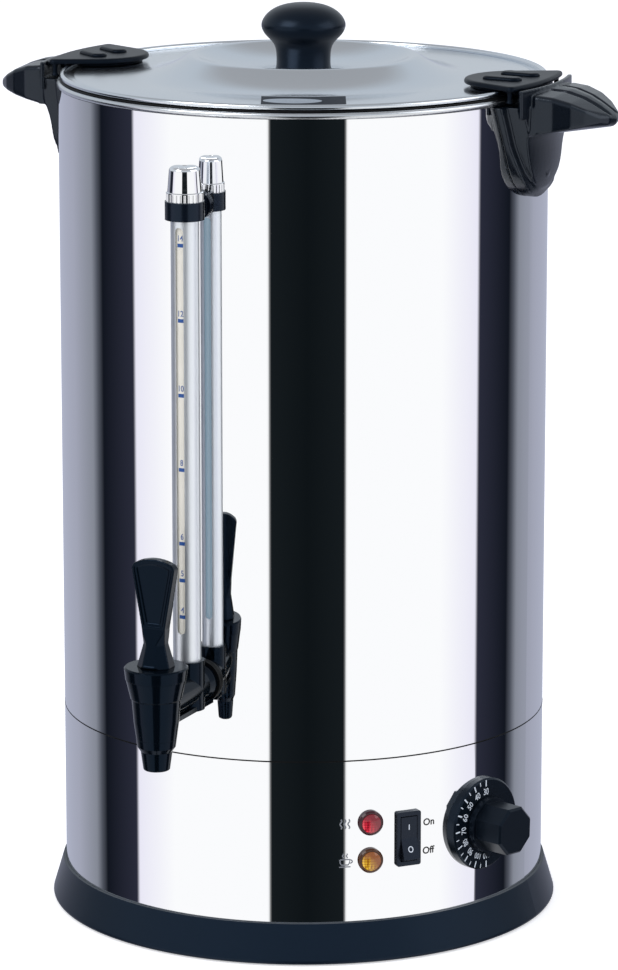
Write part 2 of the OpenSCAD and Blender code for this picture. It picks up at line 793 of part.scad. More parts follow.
// the wing is a loft of rounded slices from the lip to the tip
module wing(inset = 0) {
    steps = [0, 0.25, 0.5, 0.7, 0.86, 0.95];
    x0 = wing_x + wing_edge_r;
    reach = handle_tip - wing_edge_r - x0 + 1;
    low = wing_top_z - wing_t;
    hull() for (s = steps) translate([x0 + reach * s, 0, 0]) {
        w = wing_half * sqrt(1 - s * s) - wing_edge_r - inset;
        top = wing_top_z - wing_drop * s * s - inset;
        for (y = [-w, w]) {
            translate([0, y, top - wing_edge_r - 1.6]) sphere(wing_edge_r, $fn = 24);
            translate([0, y, low + 6.5 * s + wing_edge_r]) sphere(wing_edge_r, $fn = 24);
        }
        translate([0, 0, top - wing_crown_r * (1 - 0.6 * s)]) sphere(wing_crown_r * (1 - 0.6 * s), $fn = 32);
    }
}

// two tapered grooves leave three ridges on the wing
module wing_grooves() {
    for (s = [-1, 1]) translate([0, 0, wing_top_z - 22]) linear_extrude(30)
        polygon([[wing_x + 5, s * 8.5 - 1.7], [handle_tip - 5, s * 4.6 - 0.5],
                 [handle_tip - 4.4, s * 4.6], [handle_tip - 5, s * 4.6 + 0.5], [wing_x + 5, s * 8.5 + 1.7],
                 [wing_x + 2.6, s * 8.6]]);
}

// the shield's outline seen from the side: a round bottom and straight flanks that run out of it
module shield_outline(inset) {
    r = shield_r - inset;
    centre = [0, shield_z + shield_r];
    corner = [shield_half - inset, saddle_top_z - centre.y];
    t = tangent_point(corner, r);
    past = corner + 0.2 * (corner - t);
    a = atan2(t.y, t.x);
    translate([body_r - 20, 0, 0]) rotate([90, 0, 90]) linear_extrude(60) translate(centre)
        polygon(concat(arc([0, 0], r, 180 - a, 360 + a, 32), [past, [-past.x, past.y]]));
}

// the section of the shield's raised middle, from its foot up to the saddle
module shield_section() {
    h = saddle_top_z - shield_z;
    r0 = body_r + seat_gap;
    polygon([[r0, shield_z], [r0 + 0.25 * shield_out, shield_z + 1.5],
        [r0 + 0.42 * shield_out, shield_z + 0.17 * h],
        [r0 + 0.65 * shield_out, shield_z + 0.4 * h], [r0 + 0.9 * shield_out, shield_z + 0.66 * h],
        [r0 + shield_out, shield_z + 0.78 * h], [r0 + shield_out, saddle_top_z], [r0, saddle_top_z]]);
}

module handle() {
    root_x = body_r + shield_out - 5;
    color("#17181b") difference() {
        union() {
            intersection() {
                shield_outline(0);
                ring_arc(body_r + seat_gap, body_r + flange_out, shield_z, saddle_top_z, -25, 25);
            }
            intersection() {
                shield_outline(shield_inset);
                rotate([0, 0, -25]) rotate_extrude(angle = 50, $fn = 180) shield_section();
            }
            difference() {
                union() {
                    wing();
                    translate([root_x, -wing_half, wing_top_z - wing_t])
                        cube([wing_x + 3 - root_x, 2 * wing_half, saddle_top_z - wing_top_z + wing_t]);
                }
                difference() {
                    wing_grooves();
                    wing(1.3);
                }
                cylinder(r = body_r + seat_gap, h = rim_z * 2, $fn = 180);
                translate([0, 0, saddle_top_z]) cylinder(r = lip_r, h = 40, $fn = 180);
            }
            ring_arc(lip_r, lip_r + lip_t, saddle_top_z - 6, lip_top_z, -lip_half, lip_half);
            ring_arc(lock_r + 0.7, lip_r + tiny, hook_z, hook_z + hook_t, hook_from, hook_to);
        }
        for (z = handle_screw_zs) translate([0, 0, z]) rotate([0, 90, 0])
            cylinder(r = screw_r - 0.1, h = body_r + 7.2);
    }
}

module handle_right() { handle(); }
module handle_left() { rotate([0, 0, 180]) handle(); }

// the screws pass from the air gap through the wall into the handles
module handle_screws() {
    color("silver") for (s = [0, 180], z = handle_screw_zs) rotate([0, 0, s])
        translate([inner_r - 1.2, 0, z]) rotate([0, 90, 0]) wall_screw(6);
}

module wall_screw(bite) {
    translate([0, 0, -pan_t]) cylinder(r = pan_r, h = pan_t);
    translate([0, 0, -tiny]) cylinder(r = screw_r - 0.15, h = 1.2 + sheet_t + bite);
    tube(pan_r + 1, screw_r - 0.15 - tiny, 0.9);
}

// Tap
// where the cone under the cup begins, and its radius at the joint with the spout
step_z = cup_top_z - 10.5;
r_top = bonnet_r - 0.85;
r_step = r_top - 2.55;
cup_waist_r = r_step - 1.65;
cup_waist_z = step_z - 13.5;
spout_joint_r = lookup(seat_z, [[spout_top_z + 2.6, spout_r + 3.1], [cup_waist_z, cup_waist_r]]);

module tap_body() {
    color("#0d0f13") difference() {
        union() {
            tap_axis() rotate_extrude() polygon([[0, seat_z], [spout_joint_r, seat_z],
                [cup_waist_r, cup_waist_z], [r_step - 0.6, step_z - 0.5], [r_step, step_z],
                [r_top, cup_top_z], [0, cup_top_z]]);
            shank_outside();
            on_wall(0, shank_z, tank_in_r - 12) cylinder(r = shank_r, h = tap_rho - tank_in_r + 12 - 8);
            gauge_socket();
        }
        tap_axis() {
            translate([0, 0, seat_z - 1]) cylinder(r = chamber_r, h = 41);
            translate([0, 0, shank_z + 6]) cylinder(r = neck_r, h = 40);
        }
        on_wall(0, shank_z, tank_in_r - 13) cylinder(r = shank_bore_r,
            h = tap_rho - tank_in_r + 13 - chamber_r + 2);
        gauge_axis() {
            translate([0, 0, glass_seat_z]) cylinder(r = glass_r + 1.2, h = 40);
            translate([0, 0, shank_z]) cylinder(r = 2.5, h = 20);
        }
    }
}

// the spout is moulded apart and welded under the cup. Its top face is the valve's seat
module tap_spout() {
    color("#0d0f13") tap_axis() rotate_extrude() polygon(concat(
        [[spout_bore_r, spout_z]], arc([spout_r - 1, spout_z + 1], 1, -90, 0, 4),
        [[spout_r + 1.3, spout_top_z], [spout_r + 3.1, spout_top_z + 2.6],
            [spout_joint_r, seat_z], [spout_bore_r, seat_z]]));
}

// the shank outside the wall: a fat tube on a level rail, with a shoulder against the washer
module shank_outside() {
    rail_w = 16;
    rail_t = 2.6;
    rail_z = shank_z - 11;
    fat_r = shank_r + 1;
    shoulder_r = shank_r + 2;
    washer_out = seal_t + 0.4;
    length = tap_reach - washer_out - 8;
    on_wall(0, shank_z, body_r + washer_out) {
        cylinder(r = fat_r, h = length);
        cylinder(r = shoulder_r, h = shoulder_out);
        translate([0, 0, shoulder_out - tiny]) cylinder(r1 = shoulder_r, r2 = fat_r, h = 4.5);
        translate([-rail_w / 2, -11, 0]) cube([rail_w, rail_t, length]);
        translate([-2.5, -11, 0]) cube([5, 11, length]);
    }
    tap_axis() translate([0, 0, rail_z]) cylinder(r = rail_w / 2 + 1, h = rail_t);
}

// a cup on the shank takes the gauge's glass and guard tube
module gauge_socket() {
    gauge_axis() {
        translate([0, 0, shank_z - 11]) cylinder(r = socket_r, h = socket_top_z - shank_z + 11);
        translate([0, 0, socket_top_z - tiny]) tube(socket_r, guard_r + 0.1, 1.6);
    }
}

module tap_wall_washer() {
    color("#1b1c1f") outside_wall() difference() {
        on_wall(0, shank_z, body_r - 3) cylinder(r = shank_r + 3.4, h = 3 + seal_t + 0.4);
        on_wall(0, shank_z, body_r - 10) cylinder(r = shank_r + 0.1, h = 20);
    }
}

module tap_inner_seal() {
    color("#8a3b2e") intersection() {
        difference() {
            on_wall(0, shank_z, tank_in_r - seal_t - 1) cylinder(r = 14, h = 20);
            on_wall(0, shank_z, tank_in_r - 20) cylinder(r = shank_r + 0.1, h = 40);
        }
        cylinder(r = tank_in_r - seat_gap, h = rim_z, $fn = 180);
    }
}

module tap_nut() {
    color("silver") on_wall(0, shank_z, tank_in_r - seal_t - 1 - wall_nut_t) difference() {
        cylinder(r = 15, h = wall_nut_t, $fn = 6);
        translate([0, 0, -1]) cylinder(r = shank_r + seat_gap, h = wall_nut_t + 2);
    }
}

module tap_bonnet() {
    plug_z = shank_z + 8;
    color("#111317") tap_axis() difference() {
        union() {
            translate([0, 0, cup_top_z]) cylinder(r1 = bonnet_r - 0.7, r2 = bonnet_r, h = bonnet_h - 0.8);
            translate([0, 0, bonnet_z - 0.8 - tiny])
                cylinder(r1 = bonnet_r, r2 = bonnet_r - 0.8, h = 0.8 + tiny);
            translate([0, 0, plug_z]) cylinder(r = neck_r - 0.1, h = bonnet_z - plug_z - 2);
        }
        translate([0, 0, plug_z - 1]) cylinder(r = stem_r + run_gap, h = 40);
        translate([0, 0, plug_z - 1]) cylinder(r = neck_r - 2.5, h = 7);
    }
}

// the silicone cup closes the spout and keeps the water out of the bonnet
module seat_cup() {
    rim_low = shank_z + 6;
    rim_t = 2;
    color("#d8d2c4") tap_axis() rotate_extrude() polygon([
        [0, seat_z], [6.6, seat_z], [7, seat_z + 3], [5.6, seat_z + 5], [8.4, rim_low - 1.6],
            [9.1, rim_low + tiny],
        [neck_r - 0.2, rim_low + tiny],
        [neck_r - 0.2, rim_low + rim_t], [9.4, rim_low + rim_t], [7.4, rim_low], [4.2, seat_z + 7],
        [stem_r + 0.9, seat_z + 6], [stem_r + 0.9, seat_z + 2.4], [0, seat_z + 2.4]]);
}

module tap_stem() {
    foot_z = seat_z + 2.5;
    eye_z = bonnet_z + 0.3;
    pin_z = bonnet_z + pin_rise;
    color("#c2a25a") tap_axis() difference() {
        union() {
            translate([0, 0, foot_z]) cylinder(r = stem_r, h = eye_z - foot_z);
            translate([0, 0, foot_z]) cylinder(r = stem_r + 0.8, h = 3);
            translate([-eye_t / 2, -4.8, eye_z - tiny]) cube([eye_t, 6.8, 5.4]);
        }
        hull() for (y = [-3, 0]) translate([0, y, pin_z + 0.1]) rotate([0, 90, 0])
            cylinder(r = lever_pin_r + 0.3, h = 10, center = true, $fn = 32);
    }
}

// Tap lever: an eight-sided foot with a round toe that it tilts about, a waist and a fan-shaped paddle
module tap_lever() {
    top_z = bonnet_z + lever_h;
    corner = cos(22.5);
    color("#0b0d11") difference() {
        tap_axis() difference() {
            union() {
                difference() {
                    translate([0, 0, bonnet_z]) rotate([0, 0, 22.5])
                        cylinder(r1 = foot_r / corner, r2 = waist_r / corner, h = waist_z - bonnet_z,
                            $fn = 8);
                    translate([-foot_r, -foot_r - 1, bonnet_z - 1]) cube([2 * foot_r, 1 + toe_r, 1 + toe_r]);
                }
                translate([0, toe_r - foot_r, bonnet_z + toe_r]) rotate([0, 90, 0])
                    cylinder(r = toe_r, h = toe_l, center = true, $fn = 48);
                hull() {
                    translate([0, 0, waist_z - 0.5]) rotate([0, 0, 22.5])
                        cylinder(r = waist_r / corner, h = 0.6, $fn = 8);
                    translate([-waist_r - 0.6, -3.6, waist_z + 8]) cube([2 * waist_r + 1.2, 7.2, 0.1]);
                }
                intersection() {
                    translate([0, 3.6, 0]) rotate([90, 0, 0]) linear_extrude(7.4) polygon(fan(top_z, 0));
                    paddle_side(top_z);
                }
            }
            lever_cavity();
            translate([0, 0, bonnet_z + pin_rise]) rotate([0, 90, 0])
                cylinder(r = lever_pin_r + seat_gap, h = 2 * lever_pin_half + 0.3, center = true, $fn = 32);
            paddle_panel(top_z, panel_edge, panel_step);
            paddle_panel(top_z, panel_edge + 1.5, 2 * panel_step);
            paddle_ribs(top_z);
        }
    }
}

// the paddle's outline: straight flanks, round corners and an arched top
function fan(top, inset) =
    let (r = 3.4, crown = 24, half = paddle_w / 2, foot = waist_r + 0.6,
        x = half - r, y = top - crown + sqrt(pow(crown - r, 2) - x * x), a = atan2(y - top + crown, x))
    concat([[foot - inset, waist_z + 8 + inset]], arc([x, y], r - inset, -8, a - 2, 5),
        arc([0, top - crown], crown - inset, a, 180 - a, 12),
        arc([-x, y], r - inset, 182 - a, 188, 5), [[inset - foot, waist_z + 8 + inset]]);

// the paddle thins towards its top and leans out a little
module paddle_side(top_z) {
    rotate([90, 0, 90]) linear_extrude(60, center = true) polygon([
        [-3.6, waist_z + 7], [3.6, waist_z + 7], [3.4, waist_z + back_rise], [2, top_z + 1],
        [-3.4, top_z + 1], [-3.8, waist_z + 26]]);
}

// a shallow panel is let into the paddle's front, one step inside another
module paddle_panel(top_z, inset, depth) {
    translate([0, depth - 3.6, 0]) rotate([90, 0, 0]) linear_extrude(10) polygon(fan(top_z, inset));
}

// fine level grooves on the paddle's back for the thumb
module paddle_ribs(top_z) {
    low = waist_z + back_rise;
    slope = 1.4 / (top_z + 1 - low);
    for (z = [low + 2:rib_pitch:top_z - 6])
        translate([-paddle_w / 2 + 2, 3.4 - slope * (z - low) - 0.45, z])
            cube([paddle_w - 4, 3, rib_pitch * 0.4]);
}

// room in the foot for the stem's eye and its round top at every tilt
module lever_cavity() {
    translate([-eye_t / 2 - 0.4, -5.6, bonnet_z - 1]) cube([eye_t + 0.8, 12.8, 9.6]);
    translate([-stem_r - 0.5, -stem_r - 0.9, bonnet_z - 1]) cube([2 * stem_r + 1, 2 * stem_r + 3.4, 2.9]);
}

module lever_pin() {
    color("silver") tap_axis() translate([0, 0, bonnet_z + pin_rise]) rotate([0, 90, 0])
        cylinder(r = lever_pin_r, h = 2 * lever_pin_half, center = true, $fn = 32);
}

// Sight gauge
module gauge_lower_seal() {
    color("#2a2a2c") gauge_axis() translate([0, 0, glass_seat_z])
        tube(glass_r + 1.15, glass_r + seat_gap, 7);
}

module gauge_glass() {
    color("#e8f0ee", 0.5) gauge_axis() translate([0, 0, glass_seat_z])
        tube(glass_r, glass_r - glass_t, glass_top_z - glass_seat_z);
}

module gauge_guard() {
    low = socket_top_z;
    slot_low = low + slot_foot;
    slot_top = guard_top_z - slot_head;
    color("#d3d7dc") gauge_axis() difference() {
        translate([0, 0, low]) tube(guard_r, guard_r - guard_t, guard_top_z - low);
        translate([-slot_w / 2, -guard_r - 1, slot_low + slot_w / 2])
            cube([slot_w, 2 * guard_r + 2, slot_top - slot_low - slot_w]);
        for (z = [slot_low + slot_w / 2, slot_top - slot_w / 2]) translate([0, 0, z]) rotate([90, 0, 0])
            cylinder(r = slot_w / 2, h = 2 * guard_r + 2, center = true);
    }
}

module gauge_upper_seal() {
    color("#2a2a2c") gauge_axis() translate([0, 0, guard_top_z + seat_gap])
        tube(guard_r - 0.2, glass_r + seat_gap, 3);
}

module gauge_cap() {
    band_r = cap_d / 2;
    top_r = cap_top_d / 2;
    band_h = 4.7;
    round_r = 2.2;
    flutes = 28;
    color("#e9ebee") gauge_axis() difference() {
        rotate_extrude() polygon(concat(
            [[0, cap_z], [band_r, cap_z], [band_r, cap_z + band_h], [band_r - 0.7, cap_z + band_h + 0.4]],
            arc([top_r - round_r, cap_top_z - round_r - 0.5], round_r, 8, 78, 6),
            [[0, cap_top_z]]));
        translate([0, 0, cap_z - 1]) cylinder(r = guard_r + seat_gap,
            h = guard_top_z - cap_z + 1 + seat_gap);
        translate([0, 0, cap_z]) cylinder(r = guard_r - 0.15, h = guard_top_z - cap_z + 3.3);
        translate([0, 0, cap_z]) cylinder(r = glass_r + 0.1, h = glass_top_z - cap_z + 0.4);
        translate([0, 0, cap_z]) cylinder(r = 0.8, h = cap_h + 5, $fn = 24);
        translate([0, 0, cap_top_z - 0.7]) cylinder(r1 = 0.8, r2 = 2, h = 0.8, $fn = 48);
        for (i = [0:flutes - 1]) rotate([0, 0, i * 360 / flutes]) translate([band_r + 0.35, 0, cap_z - 1])
            cylinder(r = 0.75, h = band_h + 0.6, $fn = 16);
    }
}

module gauge_bracket() {
    mid = bracket_z + bracket_h / 2;
    arm = gauge_reach - guard_r;
    color("#1c1e22") difference() {
        outside_wall() union() {
            gauge_axis() translate([0, 0, bracket_z]) cylinder(r = bracket_r, h = bracket_h);
            translate([-5, -gauge_rho, bracket_z]) cube([10, gauge_rho - body_r + 2, bracket_h]);
            on_wall(0, mid, body_r - 2) cylinder(r = 7.5, h = 4.2);
            for (s = [-1, 1]) translate([s * 4 - 1.2, -gauge_rho, bracket_z])
                cube([2.4, gauge_rho - body_r + 2, bracket_h + 0.9]);
        }
        gauge_axis() translate([0, 0, bracket_z - 1]) cylinder(r = guard_r + seat_gap, h = bracket_h + 3);
        on_wall(0, mid, body_r - 2) cylinder(r = screw_r - 0.1, h = 2 + arm - 0.8);
        gauge_axis() translate([0, 0, bracket_top_z - tiny]) cylinder(r = cap_d / 2 + 0.2, h = 5);
    }
}

module bracket_screw() {
    color("silver") on_wall(0, bracket_z + bracket_h / 2, inner_r - 1.2)
        wall_screw(gauge_reach - guard_r - 1.4);
}

// Lid
module lid_gasket() {
    color("#1c1c1e") tube_at(gasket_r, channel_in_r - 0.6, rim_z, gasket_t);
}

module tube_at(r_out, r_in, z, h) {
    rotate_extrude($fn = 180) translate([r_in, z]) square([r_out - r_in, h]);
}

// half the lid's section: the knob's seat, the dish, the ridge and the flank down to the level rim,
// each bend an arc that runs into the next. depth is measured down from the upper face.
function lid_line(depth) = let (
    foot_r = lock_nose - 2,
    dish_deg = 2 * atan(ridge_rise / (ridge_r - seat_r)),
    flank_deg = 2 * atan((ridge_z - crown_z) / (foot_r - ridge_r)),
    dish_bend = (ridge_r - seat_r) / sin(dish_deg) - ridge_bend,
    foot_bend = (foot_r - ridge_r) / sin(flank_deg) - ridge_bend)
    concat(
        [[0, plateau_z - depth]],
        arc([seat_r, plateau_z + dish_bend], dish_bend + depth, -90, -90 + dish_deg * 0.99, 6),
        arc([ridge_r, ridge_z - ridge_bend], ridge_bend - depth, 90 + dish_deg, 90 - flank_deg * 0.99, 8),
        arc([foot_r, crown_z + foot_bend], foot_bend + depth, -90 - flank_deg, -90, 6));

// the lid: rolled bead, flat channel, level rim, a ridge round a dished middle, and a skirt in the tank
module lid_shell() {
    t = sheet_t;
    color("#dfe2e6") difference() {
        union() {
            rotate_extrude($fn = 180) translate([lid_bead_c, lid_z + lid_bead_r])
                circle(lid_bead_r, $fn = 48);
            rotate_extrude($fn = 180) polygon(concat(
                lid_line(0),
                [[channel_in_r, crown_z], [channel_in_r, lid_z + t], [lid_bead_c, lid_z + t],
                    [lid_bead_c, lid_z + 0.05], [channel_in_r - t, lid_z + 0.05],
                    [channel_in_r - t, crown_z - t]],
                reversed(lid_line(t))));
            tube_at(skirt_r, skirt_r - t, lid_z - skirt_depth, skirt_depth + t + 0.6);
        }
        translate([0, 0, plateau_z - 10]) cylinder(r = screw_r + 0.1, h = 20);
        lock_screw_places() translate([0, 0, lid_z - 10]) cylinder(r = 1.6, h = 30);
    }
}

module lid_knob() {
    base_z = plateau_z;
    neck_z = base_z + knob_h - 24.7;
    wide_z = base_z + knob_h - 9;
    n = knob_neck_r;
    color("#0e0f12") difference() {
        rotate_extrude() polygon(concat(
            [[0, base_z], [n - 0.4, base_z], [n + 0.5, base_z + 0.8], [n + 0.5, base_z + 3.2],
                [n - 0.3, base_z + 4],
             [n - 0.3, neck_z - 5], [n, neck_z]],
            arc([n + 4.6, neck_z + 0.5], 4.6, 180, 110, 6),
            [[n + 5.4, wide_z - 7.4]],
            arc([knob_r - 3, wide_z - 1], 3, -60, 0, 6),
            arc([knob_r - 8, wide_z - 0.6], 8, 0, 62, 8),
            [[knob_r * 0.4, base_z + knob_h - 0.4], [0, base_z + knob_h]]));
        translate([0, 0, base_z - 1]) cylinder(r = screw_r - 0.1, h = 15);
    }
}

module knob_screw() {
    color("silver") translate([0, 0, plateau_z - sheet_t]) {
        translate([0, 0, -pan_t]) cylinder(r = pan_r + 2, h = pan_t);
        translate([0, 0, -tiny]) cylinder(r = screw_r - 0.15, h = sheet_t + 13);
    }
}

// Lid locks, drawn on +X

module lock_screw_places() {
    for (s = [0, 180], y = [-9, 9]) rotate([0, 0, s]) translate([lock_nose + 10, y, 0]) children();
}

// plan of a lock plate: a round nose that widens to the rim, cut to the outer radius
module lock_plan(inset = 0) {
    c = lock_nose + lock_nose_r;
    corner_r = 3;
    corner = (lock_r - corner_r) * [cos(lock_half - 1.4), sin(lock_half - 1.4)];
    intersection() {
        circle(lock_r - inset, $fn = 180);
        hull() {
            translate([c, 0]) circle(lock_nose_r - inset);
            for (s = [-1, 1]) translate([corner.x, s * corner.y]) circle(corner_r - inset, $fn = 32);
            translate([lock_r - 6, -corner.y * 0.5]) square([8, corner.y]);
        }
    }
}

// what lies under the lock plates: the lid's crown
module under_crown() {
    rotate_extrude($fn = 180) polygon([[0, 0], [lid_r + 2, 0], [lid_r + 2, lid_z + lid_bead_d + 0.15],
        [channel_in_r + 0.1, lid_z + lid_bead_d + 0.15], [channel_in_r + 0.1, crown_z + seat_gap],
        [0, crown_z + seat_gap]]);
}

module lid_lock(bar_deg) {
    edge = 1;
    bar_r = 3.2;
    color("#1a1b1f") difference() {
        union() {
            difference() {
                union() {
                    translate([0, 0, lock_under_z]) linear_extrude(lock_t - edge) lock_plan();
                    translate([0, 0, lock_z - edge - tiny]) linear_extrude(edge + tiny)
                        lock_plan(edge * 0.6);
                    translate([0, 0, lid_z]) linear_extrude(lock_under_z - lid_z + tiny) lock_plan(3.5);
                    for (y = [-1, 1]) translate([lock_nose + lock_nose_r - 6, y * 10.5, lock_z - tiny])
                        rotate([0, 0, bar_deg])
                        grip_bar(26, bar_r);
                }
                under_crown();
            }
            for (s = [-1, 1]) rotate([0, 0, s * post_half]) translate([post_rho, 0, post_z]) {
                cylinder(r = post_r, h = lock_under_z - post_z + tiny, $fn = 32);
                cylinder(r = post_r + 0.9, h = 0.9, $fn = 32);
            }
            ring_arc(lock_r - 2, lock_r - tiny, tongue_z, lock_under_z + tiny, tongue_from, tongue_to);
            ring_arc(lock_r - 2, lip_r - 0.6, tongue_z, tongue_z + tongue_t, tongue_from, tongue_to);
        }
        for (y = [-9, 9]) translate([lock_nose + 10, y, 0]) cylinder(r = 1.4, h = lock_z - 1.2);
    }
}

module grip_bar(length, r) {
    for (x = [-1, 1]) translate([x * (length / 2 - r), 0, 0])
        cylinder(r1 = r, r2 = r - 0.8, h = 1.8, $fn = 32);
    translate([-length / 2 + r, -r + 0.8, 0]) cube([length - 2 * r, 2 * r - 1.6, 1.8]);
}

module lid_lock_right() { lid_lock(-6); }
module lid_lock_left() { rotate([0, 0, 180]) lid_lock(-38); }

module lock_screws() {
    color("silver") lock_screw_places() {
        translate([0, 0, crown_z - sheet_t - 2.6]) cylinder(r = 2.8, h = 2.6);
        translate([0, 0, lid_z]) cylinder(r = 1.35, h = lock_z - lid_z - 1.6);
    }
}

base_ring();
skid_ring();
base_plate();
base_screws();
lower_band();
outer_wall();
tank();
heater_plate();
heater_element();
thermal_cutouts();
thermostat_body();
thermostat_nut();
thermostat_bulb();
terminal_block();
dial_plate();
switch_housing();
switch_terminals();
red_lamp_body();
red_lamp_lens();
amber_lamp_body();
amber_lamp_lens();
power_inlet();
inlet_pins();
inlet_screws();
handle_left();
handle_right();
handle_screws();
tap_body();
tap_spout();
tap_wall_washer();
tap_inner_seal();
tap_nut();
tap_bonnet();
seat_cup();
gauge_lower_seal();
gauge_glass();
gauge_guard();
gauge_upper_seal();
gauge_cap();
gauge_bracket();
bracket_screw();
lid_gasket();
lid_shell();
lid_knob();
knob_screw();
lid_lock_left();
lid_lock_right();
lock_screws();
tap_lever();
lever_pin();
tap_stem();
thermostat_knob();
thermostat_shaft();
rocker();
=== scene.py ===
# %% [markdown]
# # Hot water urn: the looks
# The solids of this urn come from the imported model, already at their real size and place.
# This script gives each of them its finish, adds the printed marks that are too fine for solids,
# and sets up a small studio. A mirror-polished wall shows little of itself and much of the room,
# so the room is half of the material here.

import math

import bmesh
import bpy
from mathutils import Matrix, Vector


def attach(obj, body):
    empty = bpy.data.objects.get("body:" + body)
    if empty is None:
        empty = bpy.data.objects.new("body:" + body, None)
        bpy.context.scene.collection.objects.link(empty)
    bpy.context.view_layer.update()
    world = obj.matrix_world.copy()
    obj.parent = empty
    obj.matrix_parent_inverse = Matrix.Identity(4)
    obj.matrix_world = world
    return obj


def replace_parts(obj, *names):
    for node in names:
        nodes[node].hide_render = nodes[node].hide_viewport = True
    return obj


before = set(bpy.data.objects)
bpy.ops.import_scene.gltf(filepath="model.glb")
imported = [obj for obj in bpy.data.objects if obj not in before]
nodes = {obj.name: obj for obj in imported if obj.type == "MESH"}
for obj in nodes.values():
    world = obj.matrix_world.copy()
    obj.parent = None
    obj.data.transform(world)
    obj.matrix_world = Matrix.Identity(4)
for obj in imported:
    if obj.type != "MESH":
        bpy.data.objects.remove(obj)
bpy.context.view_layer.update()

# %% [markdown]
# Distances are easier to read in millimetres, and colours in the hex form that a paint chart gives.
# Blender counts in metres and in linear light, so one function turns hex to linear.

# %% Units and colours
MM = 0.001


def hex_colour(text, alpha=1.0):
    """An sRGB hex colour as linear RGBA."""
    out = []
    for i in (0, 2, 4):
        c = int(text[i : i + 2], 16) / 255
        out.append(c / 12.92 if c <= 0.04045 else ((c + 0.055) / 1.055) ** 2.4)
    return (*out, alpha)


def add_node(tree, kind, settings=None, links=None):
    """Adds a shader node. settings fills its sockets or properties, links joins sockets to outputs."""
    node = tree.nodes.new(kind)
    for key, value in (settings or {}).items():
        if isinstance(key, int) or key in node.inputs:
            node.inputs[key].default_value = value
        else:
            setattr(node, key, value)
    for key, source in (links or {}).items():
        tree.links.new(source, node.inputs[key])
    return node


def new_material(name):
    """An empty node material and its tree, with the output node in place."""
    material = bpy.data.materials.new(name)
    material.use_nodes = True
    material.node_tree.nodes.clear()
    add_node(material.node_tree, "ShaderNodeOutputMaterial")
    return material, material.node_tree


def finish_material(tree, shader):
    """Joins the last shader to the material's output."""
    tree.links.new(shader.outputs[0], tree.nodes["Material Output"].inputs["Surface"])


def fill_ramp(node, stops):
    """Paints a colour ramp from stops of place and hex colour. The first place is 0 and the last is 1."""
    ramp = node.color_ramp
    ramp.elements[0].color = hex_colour(stops[0][1])
    ramp.elements[1].color = hex_colour(stops[-1][1])
    for place, colour in stops[1:-1]:
        ramp.elements.new(place).color = hex_colour(colour)


def put_in_scene(name, mesh):
    """A new object for a mesh, linked into the scene."""
    piece = bpy.data.objects.new(name, mesh)
    bpy.context.scene.collection.objects.link(piece)
    return piece


print("red lens in linear light:", [round(v, 3) for v in hex_colour("c81e2a")])

# %% [markdown]
# ## Camera
# The photograph was taken with a long lens from 24 degrees to the right of the tap, a little above
# the rim. A long lens keeps the urn's sides almost parallel. The distance and the height come from
# the ellipses of the rim, the seam and the base, whose openings shrink towards the camera's height.
# The lens and the small turn to the side were measured in pixels of the photograph.

# %% Camera
CAMERA_AZIMUTH = 24.0
SENSOR_MM = 36
PHOTO_HEIGHT_PX, LENS_PX, SIDE_SHIFT_PX = 970, 4853, 5.5
camera_distance = 2694 * MM
camera_height = 845.3 * MM
camera_pitch = math.degrees(0.2212)
lens_data = bpy.data.cameras.new("long_lens")
lens_data.sensor_width = SENSOR_MM
lens_data.lens = LENS_PX / PHOTO_HEIGHT_PX * SENSOR_MM
lens_data.clip_start, lens_data.clip_end = 0.1, 50
camera = put_in_scene("photo_camera", lens_data)
heading = math.radians(CAMERA_AZIMUTH)
camera.location = (
    camera_distance * math.sin(heading),
    -camera_distance * math.cos(heading),
    camera_height,
)
camera.rotation_euler = (
    math.radians(90 - camera_pitch),
    0,
    heading - math.atan(SIDE_SHIFT_PX / LENS_PX),
)
bpy.context.scene.camera = camera
print("lens of", round(lens_data.lens, 1), "mm on a 36 mm sensor")

# %% [markdown]
# ## The room that the steel mirrors
# Polished steel was photographed between white walls and black cards: the black bar down the middle
# is a card behind the camera, the thin dark bars at the sides are cards beside the urn, and the
# lavender grey at the very edges is the room behind it. A cylinder mirrors each direction as an
# upright stripe, so the room can be painted by compass direction alone, in the world's own shader.
# Only glossy rays see the stripes. The camera sees a white sky, and soft light falls on the rest.
# The camera looks down, so an upright wall mirrors only what lies below the horizon, and the lid only
# what lies above it. That lets the lid have a plain grey-blue ceiling, which darkens towards the zenith.
# The stripes are given in degrees, the same to both sides of a line that passes 1.8 degrees beside the
# camera.

# %% World
STRIPE_SHIFT = math.radians(1.8)
HORIZON_FADE = 0.05
room = bpy.data.worlds.new("striped_studio")
bpy.context.scene.world = room
room.use_nodes = True
tree = room.node_tree
tree.nodes.clear()
sky = add_node(tree, "ShaderNodeTexCoord")
axes = add_node(tree, "ShaderNodeSeparateXYZ", links={"Vector": sky.outputs["Generated"]})
back_y = add_node(tree, "ShaderNodeMath", {"operation": "MULTIPLY", 1: -1.0}, {0: axes.outputs["Y"]})
compass = add_node(
    tree, "ShaderNodeMath", {"operation": "ARCTAN2"}, {0: axes.outputs["X"], 1: back_y.outputs[0]}
)
from_lens = add_node(
    tree, "ShaderNodeMath", {"operation": "SUBTRACT", 1: heading + STRIPE_SHIFT}, {0: compass.outputs[0]}
)
wrapped = add_node(
    tree, "ShaderNodeMath", {"operation": "WRAP", 1: math.pi, 2: -math.pi}, {0: from_lens.outputs[0]}
)
either_side = add_node(tree, "ShaderNodeMath", {"operation": "ABSOLUTE"}, {0: wrapped.outputs[0]})
share = add_node(tree, "ShaderNodeMath", {"operation": "DIVIDE", 1: math.pi}, {0: either_side.outputs[0]})
cards = add_node(tree, "ShaderNodeValToRGB", links={"Fac": share.outputs[0]})
